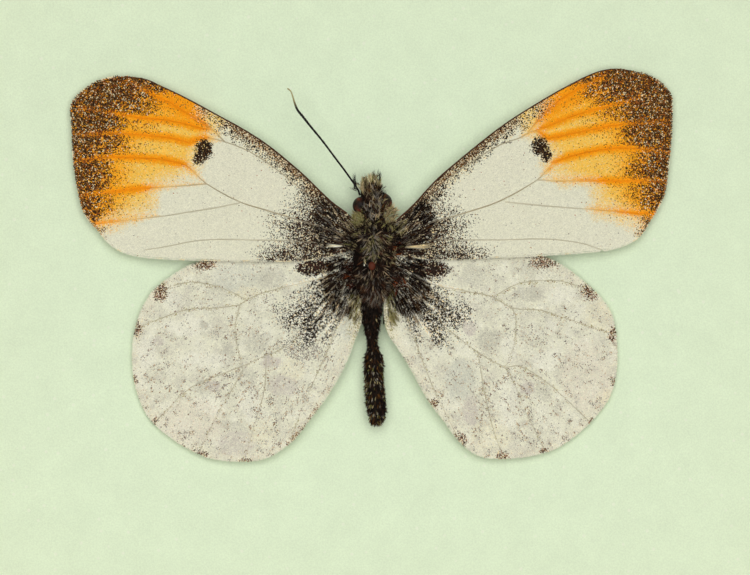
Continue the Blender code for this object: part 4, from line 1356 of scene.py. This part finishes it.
def add_abdomen_fur():
    """Short hair over the abdomen that lies back, darker near the thorax."""
    rng = np.random.default_rng(ABDOMEN_SEED)
    count = ABDOMEN_CLUMPS
    spine = np.array(smooth_path(ABDOMEN, 4))
    where = rng.uniform(0, len(spine) - 2, count)
    cell = where.astype(int)
    share = (where - cell)[:, None]
    middle = spine[cell] * (1 - share) + spine[cell + 1] * share
    turn = rng.uniform(-0.2, math.pi + 0.2, count)
    radius = ABDOMEN_SKIN_SHARE * middle[:, 3]
    roots = np.column_stack(
        [middle[:, 0] + radius * np.cos(turn), middle[:, 1], middle[:, 2] + radius * np.sin(turn)]
    )
    headings = -math.pi / 2 + 0.5 * np.cos(turn) + rng.normal(0, 0.28, count)
    low = ramp(-roots[:, 1], 5.0, 9.0)
    weights = {
        "black": 0.7 - 0.24 * low,
        "umber": 0.24 - 0.02 * low,
        "sepia": 0.02 + 0.1 * low,
        "grey": 0.03 + 0.04 * low,
        "moss": 0.04 * low,
        "hay": 0.01 + 0.03 * low,
    }
    colours = hair_colours(weights, rng)
    lengths = rng.uniform(0.16, 0.36, count)
    radii = rng.uniform(0.012, 0.022, count)
    rises = 0.35 * np.sin(turn).clip(0, 1) + rng.uniform(0, 0.2, count)
    obj = add_clumps("abdomen_fur", roots, headings, lengths, radii, rises, colours, rng)
    add_piece(obj, "abdomen_fur", FUR)


def add_ball(middle, half, segments, rings):
    """A smooth egg-shaped form in card space."""
    deselect()
    bpy.ops.mesh.primitive_uv_sphere_add(segments=segments, ring_count=rings, radius=1.0)
    obj = bpy.context.object
    move_vertices(obj, card_to_world(np.asarray(middle) + vertex_places(obj) * half))
    close_seams(obj, 0.0002 * MM)
    smooth(obj, 60)
    return obj


def add_thorax():
    thorax = add_ball(THORAX_MIDDLE, np.array(THORAX_HALF) * THORAX_SKIN_SHARE, 40, 24)
    add_piece(thorax, "thorax_form", BODY_SKIN, ("thorax",))


def add_head():
    """The head with its two palps, which reach forward under the hair."""
    palps = [
        add_tube(((x, 4.0, 2.15), (x, 5.0, 2.3), (x * 1.15, 5.8, 2.4)), PALP_RADII, 3)
        for x in PALPS_X
    ]
    head = join([add_ball(HEAD_MIDDLE, HEAD_HALF, 32, 20), *palps])
    smooth(head, 60)
    add_piece(head, "head_form", BODY_SKIN, ("head",))


def add_eyes():
    eyes = join([add_ball(middle, (radius,) * 3, 40, 28) for middle, radius in EYES])
    add_piece(eyes, "eyes", EYE)


def add_abdomen():
    """The abdomen, narrow at its waist and faintly ringed."""
    spine = smooth_path(ABDOMEN, 5)
    radii = []
    for number, point in enumerate(spine):
        ring = 1 - ABDOMEN_RING_DEPTH * abs(math.sin(number * ABDOMEN_RING_TURN))
        radii.append(ABDOMEN_SKIN_SHARE * point[3] * ring)
    abdomen = add_tube([point[:3] for point in spine], radii, 6)
    smooth(abdomen, 60)
    add_piece(abdomen, "abdomen_form", BODY_SKIN, ("abdomen",))


def add_body(wings):
    add_thorax()
    add_head()
    add_eyes()
    add_abdomen()
    add_thorax_fur()
    add_head_fur()
    add_abdomen_fur()
    for group in TUFTS:
        add_tufts(group, wings)


def add_antenna():
    """The one antenna, ringed along its stalk, with a club and a thin pale hooked tip."""
    path = np.array(smooth_path(ANTENNA, 10))
    ring = 1 + ANTENNA_RING_DEPTH * np.sin(np.arange(len(path)) * ANTENNA_RING_TURN)
    obj = add_tube(path[:, :3], ANTENNA_SLIM * path[:, 3] * ring, 3)
    smooth(obj, 60)
    pale = ramp(flat_places(obj)[:, 1], ANTENNA_PALE_FROM, ANTENNA_PALE_TO)
    tint(obj, blended({"horn": 1 - pale, "hay": 0.6 * pale, "moss": 0.4 * pale}))
    add_piece(obj, "antenna", HORN_TINTED, ("antenna_left",))


def add_pin():
    """The pin: a rounded head on a straight shaft with a point."""
    head = add_ball((PIN_X, PIN_Y, PIN_HEAD_Z), PIN_HEAD_HALF, 32, 20)
    places = [(PIN_X, PIN_Y, z) for z in (PIN_HEAD_Z, PIN_TIP_Z + PIN_POINT_LENGTH, PIN_TIP_Z)]
    shaft = add_tube(places, (PIN_SHAFT_RADIUS, PIN_SHAFT_RADIUS, PIN_POINT_RADIUS), 4)
    obj = join([head, shaft])
    smooth(obj, 50)
    add_piece(obj, "pin", PIN_METAL, ("insect_pin",))


def arc(middle_x, middle_y, radius, start, end, steps):
    angles = [math.radians(start + (end - start) * i / steps) for i in range(steps + 1)]
    return [(middle_x + radius * math.cos(a), middle_y + radius * math.sin(a)) for a in angles]


def rail_profile():
    """The rail's section: distance from its outer edge, and depth from its front face."""
    sight = RAIL_WIDTH
    bead = RAIL_WIDTH - BEAD_WIDTH
    rebate = RAIL_WIDTH - REBATE_WIDTH
    sight_depth = BEAD_STEP + BEAD_SLOPE
    profile = arc(FRONT_ROUND, FRONT_ROUND, FRONT_ROUND, 180, 270, ROUND_STEPS)
    profile += arc(bead - STEP_ROUND, STEP_ROUND, STEP_ROUND, 270, 360, ROUND_STEPS)
    profile += [(bead, BEAD_STEP), (sight - BEAD_NOSE, sight_depth - BEAD_NOSE * BEAD_SLOPE / BEAD_WIDTH)]
    profile += [(sight, sight_depth + BEAD_NOSE), (sight, LIP_DEPTH)]
    profile += [(rebate, LIP_DEPTH), (rebate, RAIL_DEPTH)]
    profile += arc(BACK_ROUND, RAIL_DEPTH - BACK_ROUND, BACK_ROUND, 90, 180, ROUND_STEPS)
    return profile


def add_rail(side, turn, length, reach, material):
    """A rail: its section is drawn, drawn out along its length, mitred, and its sharp edges are eased."""
    profile = rail_profile()
    deselect()
    bpy.ops.mesh.primitive_circle_add(vertices=len(profile), radius=1.0, fill_type="NGON")
    obj = bpy.context.object
    for vertex, (across, depth) in zip(obj.data.vertices, profile):
        vertex.co = (-length * MM / 2, (RAIL_FRONT_Y + depth) * MM, (across - reach) * MM)
    activate(obj)
    bpy.ops.object.mode_set(mode="EDIT")
    bpy.ops.mesh.select_all(action="SELECT")
    bpy.ops.mesh.extrude_region_move(TRANSFORM_OT_translate={"value": (length * MM, 0, 0)})
    bpy.ops.mesh.select_all(action="SELECT")
    bpy.ops.mesh.normals_make_consistent(inside=False)
    corner = (length / 2 - MITRE_GAP) * MM
    for sign in (-1, 1):
        bpy.ops.mesh.select_all(action="SELECT")
        bpy.ops.mesh.bisect(
            plane_co=(sign * corner, 0, -reach * MM),
            plane_no=(sign, 0, 1),
            use_fill=True,
            clear_outer=True,
        )
    bpy.ops.object.mode_set(mode="OBJECT")
    apply_modifier(
        obj,
        "BEVEL",
        width=MITRE_BEVEL * MM,
        segments=2,
        limit_method="ANGLE",
        angle_limit=math.radians(MITRE_BEVEL_FROM),
    )
    centre = Matrix.Translation((0, 0, FRAME_CENTRE_Z * MM))
    obj.data.transform(centre @ Matrix.Rotation(math.radians(turn), 4, "Y"))
    smooth(obj, 32)
    add_piece(obj, side + "_rail", material, ("rail_" + side,))


def add_frame():
    half_width = OUTER_WIDTH / 2
    half_height = OUTER_HEIGHT / 2
    add_rail("bottom", 0, OUTER_WIDTH, half_height, OAK_LEVEL)
    add_rail("left", 90, OUTER_HEIGHT, half_width, OAK_UPRIGHT)
    add_rail("top", 180, OUTER_WIDTH, half_height, OAK_LEVEL)
    add_rail("right", 270, OUTER_HEIGHT, half_width, OAK_UPRIGHT)


def add_node(tree, kind, inputs=None, **settings):
    """A shader node, with its settings and with values or links for its inputs."""
    node = tree.nodes.new(kind)
    for key, value in settings.items():
        setattr(node, key, value)
    for key, value in (inputs or {}).items():
        if isinstance(value, bpy.types.NodeSocket):
            tree.links.new(value, node.inputs[key])
        else:
            node.inputs[key].default_value = value
    return node


def add_ramp(tree, factor, stops):
    node = add_node(tree, "ShaderNodeValToRGB", {"Fac": factor})
    elements = node.color_ramp.elements
    while len(elements) < len(stops):
        elements.new(0.5)
    for element, (position, value) in zip(elements, stops):
        element.position = position
        element.color = value if isinstance(value, tuple) else (value, value, value, 1.0)
    return node.outputs["Color"]


def new_group(name, inputs, outputs):
    """A shader node group with the named sockets: a kind for each, and a value for an input."""
    group = bpy.data.node_groups.new(name, "ShaderNodeTree")
    for label, (kind, value) in inputs.items():
        socket = group.interface.new_socket(label, in_out="INPUT", socket_type=kind)
        if value is not None:
            socket.default_value = value
    for label, kind in outputs.items():
        group.interface.new_socket(label, in_out="OUTPUT", socket_type=kind)
    start = group.nodes.new("NodeGroupInput")
    end = group.nodes.new("NodeGroupOutput")
    return group, start, end


def use_group(tree, group, inputs):
    return add_node(tree, "ShaderNodeGroup", inputs, node_tree=group)


def speckle_group():
    """Small soft changes of a colour over the surface, as in paper, horn and scales."""
    group, start, end = new_group(
        "fine_speckle",
        {
            "Place": ("NodeSocketVector", None),
            "Colour": ("NodeSocketColor", (0.5, 0.5, 0.5, 1.0)),
            "Scale": ("NodeSocketFloat", 1000.0),
            "Amount": ("NodeSocketFloat", 0.1),
        },
        {"Colour": "NodeSocketColor", "Height": "NodeSocketFloat"},
    )
    noise = add_node(
        group,
        "ShaderNodeTexNoise",
        {"Vector": start.outputs["Place"], "Scale": start.outputs["Scale"], "Detail": 3.0, "Roughness": 0.6},
    )
    spread = add_node(
        group,
        "ShaderNodeMapRange",
        {"Value": noise.outputs["Fac"], "From Min": 0.3, "From Max": 0.7, "To Min": -1.0, "To Max": 1.0},
    )
    change = add_node(
        group,
        "ShaderNodeMath",
        {0: spread.outputs["Result"], 1: start.outputs["Amount"], 2: 1.0},
        operation="MULTIPLY_ADD",
    )
    scaled = add_node(
        group,
        "ShaderNodeVectorMath",
        {0: start.outputs["Colour"], 3: change.outputs[0]},
        operation="SCALE",
    )
    group.links.new(scaled.outputs[0], end.inputs["Colour"])
    group.links.new(noise.outputs["Fac"], end.inputs["Height"])
    return group


def add_noise(tree, place, scale, detail):
    noise = add_node(tree, "ShaderNodeTexNoise", {"Vector": place, "Scale": scale, "Detail": detail})
    return noise.outputs["Fac"]


def stretched(tree, place, factors):
    node = add_node(tree, "ShaderNodeVectorMath", {0: place, 1: factors}, operation="MULTIPLY")
    return node.outputs[0]


def multiplied(tree, factor, first, second):
    node = add_node(
        tree,
        "ShaderNodeMix",
        {"Factor": factor, 6: first, 7: second},
        data_type="RGBA",
        blend_type="MULTIPLY",
    )
    return node.outputs[2]


def grain_group():
    """Oak grain along the first axis of Place: growth bands, fine streaks and short dark pores."""
    group, start, end = new_group(
        "oak_grain",
        {"Place": ("NodeSocketVector", None)},
        {"Colour": "NodeSocketColor", "Roughness": "NodeSocketFloat", "Height": "NodeSocketFloat"},
    )
    drawn = stretched(group, start.outputs["Place"], (0.09, 1.0, 1.0))
    bands = add_node(
        group,
        "ShaderNodeTexWave",
        {
            "Vector": drawn,
            "Scale": 120.0,
            "Distortion": 7.0,
            "Detail": 3.0,
            "Detail Scale": 0.8,
            "Detail Roughness": 0.6,
        },
        bands_direction="Z",
    )
    base = add_ramp(group, bands.outputs["Fac"], OAK_BANDS)
    tone = add_ramp(group, add_noise(group, drawn, 90.0, 3.0), ((0.3, 0.8), (0.7, 1.08)))
    streaks = add_noise(group, drawn, 1500.0, 2.0)
    streak = add_ramp(group, streaks, ((0.35, 0.78), (0.65, 1.1)))
    wood = multiplied(group, 0.8, multiplied(group, 1.0, base, tone), streak)
    short = stretched(group, start.outputs["Place"], (0.13, 1.0, 1.0))
    pore = add_ramp(group, add_noise(group, short, 3800.0, 1.0), ((0.28, 0.0), (0.38, 1.0)))
    pored = add_node(group, "ShaderNodeMix", {"Factor": pore, 6: OAK_PORE, 7: wood}, data_type="RGBA")
    rough = add_node(
        group,
        "ShaderNodeMapRange",
        {"Value": streaks, "From Min": 0.3, "From Max": 0.7, "To Min": 0.42, "To Max": 0.58},
    )
    group.links.new(pored.outputs[2], end.inputs["Colour"])
    group.links.new(rough.outputs["Result"], end.inputs["Roughness"])
    group.links.new(pore, end.inputs["Height"])
    return group


def new_finish(name, roughness, metallic=0.0, specular=0.5):
    material = bpy.data.materials.new(name)
    material.use_nodes = True
    tree = material.node_tree
    shader = tree.nodes["Principled BSDF"]
    shader.inputs["Roughness"].default_value = roughness
    shader.inputs["Metallic"].default_value = metallic
    shader.inputs["Specular IOR Level"].default_value = specular
    place = add_node(tree, "ShaderNodeTexCoord").outputs["Object"]
    return material, tree, shader, place


def add_bump(tree, shader, height, strength, distance):
    bump = add_node(tree, "ShaderNodeBump", {"Height": height, "Strength": strength, "Distance": distance})
    tree.links.new(bump.outputs["Normal"], shader.inputs["Normal"])


def tinted_finish(name, roughness, scale, amount, glow=0.0, specular=0.15):
    """A finish that takes its colour from the mesh. Glow is the share of light that passes through."""
    material, tree, shader, place = new_finish(name, roughness, 0.0, specular)
    tints = add_node(tree, "ShaderNodeAttribute", attribute_name="tint")
    speckle = use_group(
        tree, SPECKLE, {"Place": place, "Colour": tints.outputs["Color"], "Scale": scale, "Amount": amount}
    )
    tree.links.new(speckle.outputs["Colour"], shader.inputs["Base Color"])
    if glow:
        through = add_node(tree, "ShaderNodeBsdfTranslucent", {"Color": speckle.outputs["Colour"]})
        both = add_node(
            tree, "ShaderNodeMixShader", {"Fac": glow, 1: shader.outputs[0], 2: through.outputs[0]}
        )
        tree.links.new(both.outputs[0], tree.nodes["Material Output"].inputs["Surface"])
    return material


def oak_finish(name, upright):
    material, tree, shader, place = new_finish(name, 0.5, 0.0, 0.3)
    if upright:
        turned = add_node(tree, "ShaderNodeMapping", {"Vector": place, "Rotation": (0, math.radians(90), 0)})
        place = turned.outputs["Vector"]
    grain = use_group(tree, GRAIN, {"Place": place})
    tree.links.new(grain.outputs["Colour"], shader.inputs["Base Color"])
    tree.links.new(grain.outputs["Roughness"], shader.inputs["Roughness"])
    add_bump(tree, shader, grain.outputs["Height"], 0.4, 0.00004)
    return material


def card_finish():
    """Pale green paper: faint mottling, fine fibres, and small pale specks."""
    material, tree, shader, place = new_finish("pale_green_card", 0.9, 0.0, 0.2)
    mottled = use_group(
        tree, SPECKLE, {"Place": place, "Colour": opaque(CARD_GREEN), "Scale": 420.0, "Amount": 0.028}
    )
    fibres = use_group(
        tree, SPECKLE, {"Place": place, "Colour": mottled.outputs["Colour"], "Scale": 8000.0, "Amount": 0.06}
    )
    cells = add_node(tree, "ShaderNodeTexVoronoi", {"Vector": place, "Scale": 900.0})
    speck = add_ramp(tree, cells.outputs["Distance"], ((0.08, 0.35), (0.14, 0.0)))
    specked = add_node(
        tree,
        "ShaderNodeMix",
        {"Factor": speck, 6: fibres.outputs["Colour"], 7: opaque(CARD_SPECK)},
        data_type="RGBA",
    )
    tree.links.new(specked.outputs[2], shader.inputs["Base Color"])
    add_bump(tree, shader, fibres.outputs["Height"], 0.25, 0.00003)
    return material


def speckled_finish(name, colour, roughness, scale, amount, bump, metallic=0.0, specular=0.5):
    material, tree, shader, place = new_finish(name, roughness, metallic, specular)
    speckle = use_group(
        tree, SPECKLE, {"Place": place, "Colour": opaque(colour), "Scale": scale, "Amount": amount}
    )
    tree.links.new(speckle.outputs["Colour"], shader.inputs["Base Color"])
    add_bump(tree, shader, speckle.outputs["Height"], bump, 0.00003)
    return material


def eye_finish():
    """A dark compound eye with fine facets, mottled red-brown: partly its own colour, partly painted reddish
    glints.
    """
    material, tree, shader, place = new_finish("compound_eye", 0.5, 0.0, 0.2)
    facets = add_node(tree, "ShaderNodeTexVoronoi", {"Vector": place, "Scale": 14000.0})
    clouds = add_node(tree, "ShaderNodeTexNoise", {"Vector": place, "Scale": 1800.0, "Detail": 2.0})
    # Red-brown mottling, partly the eye's own colour and partly painted reddish glints
    colour = add_ramp(
        tree,
        clouds.outputs["Fac"],
        (
            (0.42, opaque((28, 21, 17))),
            (0.58, opaque((58, 36, 26))),
            (0.7, opaque((112, 50, 34))),
        ),
    )
    tree.links.new(colour, shader.inputs["Base Color"])
    add_bump(tree, shader, facets.outputs["Distance"], 0.5, 0.00002)
    return material


def dress_cad_nodes():
    dressed = {
        "backing_card": CARD,
        "foam_board": FOAM,
        "back_panel": HARDBOARD,
        "sawtooth_hanger": ZINC,
        "hanger_nail_left": ZINC,
        "hanger_nail_right": ZINC,
    }
    for number in range(1, 7):
        dressed[f"retaining_point_{number}"] = POINT_STEEL
    for pair in ("fore", "mid", "hind"):
        for side in ("left", "right"):
            dressed[f"leg_{pair}_{side}"] = HORN
    for node, material in dressed.items():
        wear(NODES[node], material)


def add_lamp(name, place, size, power):
    """A round soft lamp that faces the middle of the card."""
    deselect()
    target = Vector((0, 0, FRAME_CENTRE_Z * MM))
    bpy.ops.object.light_add(type="AREA", location=place)
    lamp = bpy.context.object
    lamp.name = name
    lamp.data.shape = "DISK"
    lamp.data.size = size
    lamp.data.energy = power
    lamp.rotation_euler = (target - Vector(place)).to_track_quat("-Z", "Y").to_euler()
    lamp.visible_camera = False


def add_shelf():
    """A narrow pale shelf under the frame."""
    deselect()
    bpy.ops.mesh.primitive_cube_add(size=1.0)
    shelf = bpy.context.object
    shelf.name = "shelf"
    shelf.scale = SHELF_SIZE
    shelf.location = SHELF_PLACE
    settle(shelf)
    apply_modifier(shelf, "BEVEL", width=SHELF_BEVEL, segments=3)
    smooth(shelf)
    wear(shelf, SHELF)


def add_lights():
    middle_z = FRAME_CENTRE_Z * MM
    front = (LAMP_PLACE[0], -LAMP_DISTANCE, middle_z + LAMP_PLACE[1])
    add_lamp("front_lamp", front, 2 * LAMP_RADIUS, LAMP_POWER)
    x, y, z = SIDE_LAMP_PLACE
    add_lamp("left_lamp", (-x, y, z), SIDE_LAMP_SIZE, SIDE_LAMP_POWER)
    add_lamp("right_lamp", (x, y, z), SIDE_LAMP_SIZE, SIDE_LAMP_POWER)
    add_lamp("back_lamp", BACK_LAMP_PLACE, BACK_LAMP_SIZE, BACK_LAMP_POWER)
    world = bpy.data.worlds.new("pale_room")
    world.use_nodes = True
    background = world.node_tree.nodes["Background"]
    background.inputs["Color"].default_value = WORLD_COLOUR
    background.inputs["Strength"].default_value = WORLD_STRENGTH
    bpy.context.scene.world = world


def add_camera():
    deselect()
    bpy.ops.object.camera_add(location=(0, WINGS_Y * MM - CAMERA_DISTANCE, FRAME_CENTRE_Z * MM))
    camera = bpy.context.object
    camera.rotation_euler = (math.radians(90), 0, 0)
    camera.data.lens = CAMERA_LENS
    camera.data.sensor_width = SENSOR_WIDTH
    camera.data.clip_start = 0.01
    bpy.context.scene.camera = camera


SPECKLE = speckle_group()
GRAIN = grain_group()
OAK_LEVEL = oak_finish("oak_level", False)
OAK_UPRIGHT = oak_finish("oak_upright", True)
CARD = card_finish()
FOAM = speckled_finish("white_foam", (238, 238, 232), 0.9, 3000.0, 0.03, 0.3)
HARDBOARD = speckled_finish("hardboard", (122, 88, 58), 0.75, 2500.0, 0.18, 0.5)
POINT_STEEL = speckled_finish("point_steel", (150, 152, 155), 0.4, 1500.0, 0.08, 0.1, 1.0)
ZINC = speckled_finish("zinc_plate", (188, 190, 192), 0.35, 1200.0, 0.1, 0.1, 1.0)
PIN_METAL = speckled_finish("pin_bronze", (90, 42, 25), 0.65, 4000.0, 0.2, 0.2, 0.2, 0.2)
BODY_SKIN = speckled_finish("body_skin", (30, 24, 18), 0.8, 3000.0, 0.3, 0.4, 0.0, 0.1)
HORN = speckled_finish("dark_horn", (44, 33, 25), 0.5, 4000.0, 0.15, 0.3, 0.0, 0.2)
HORN_TINTED = tinted_finish("antenna_horn", 0.5, 4000.0, 0.15, specular=0.15)
EYE = eye_finish()
FUR = tinted_finish("hair", 0.7, 2500.0, 0.08, specular=0.1)
WING_SHEET = tinted_finish("wing_membrane", 0.7, 3000.0, 0.05, glow=0.15)
WING_SCALES = tinted_finish("wing_scales", 0.8, 5000.0, 0.04, specular=0.12)
SHELF = speckled_finish("shelf_paint", (210, 210, 206), 0.8, 300.0, 0.01, 0.1, 0.0, 0.1)

dress_cad_nodes()
add_frame()
WINGS = (
    make_wing("forewing_left", "fore", "left", FOREWING_LEFT, FOREWING_MARKS["left"], 101),
    make_wing("forewing_right", "fore", "right", FOREWING_RIGHT, FOREWING_MARKS["right"], 102),
    make_wing("hindwing_left", "hind", "left", HINDWING_LEFT, HINDWING_MARKS["left"], 103),
    make_wing("hindwing_right", "hind", "right", HINDWING_RIGHT, HINDWING_MARKS["right"], 104),
)
for wing in WINGS:
    add_wing(wing)
add_body(WINGS)
add_antenna()
add_pin()
add_shelf()
add_lights()
add_camera()
bpy.context.scene.view_settings.view_transform = "Standard"
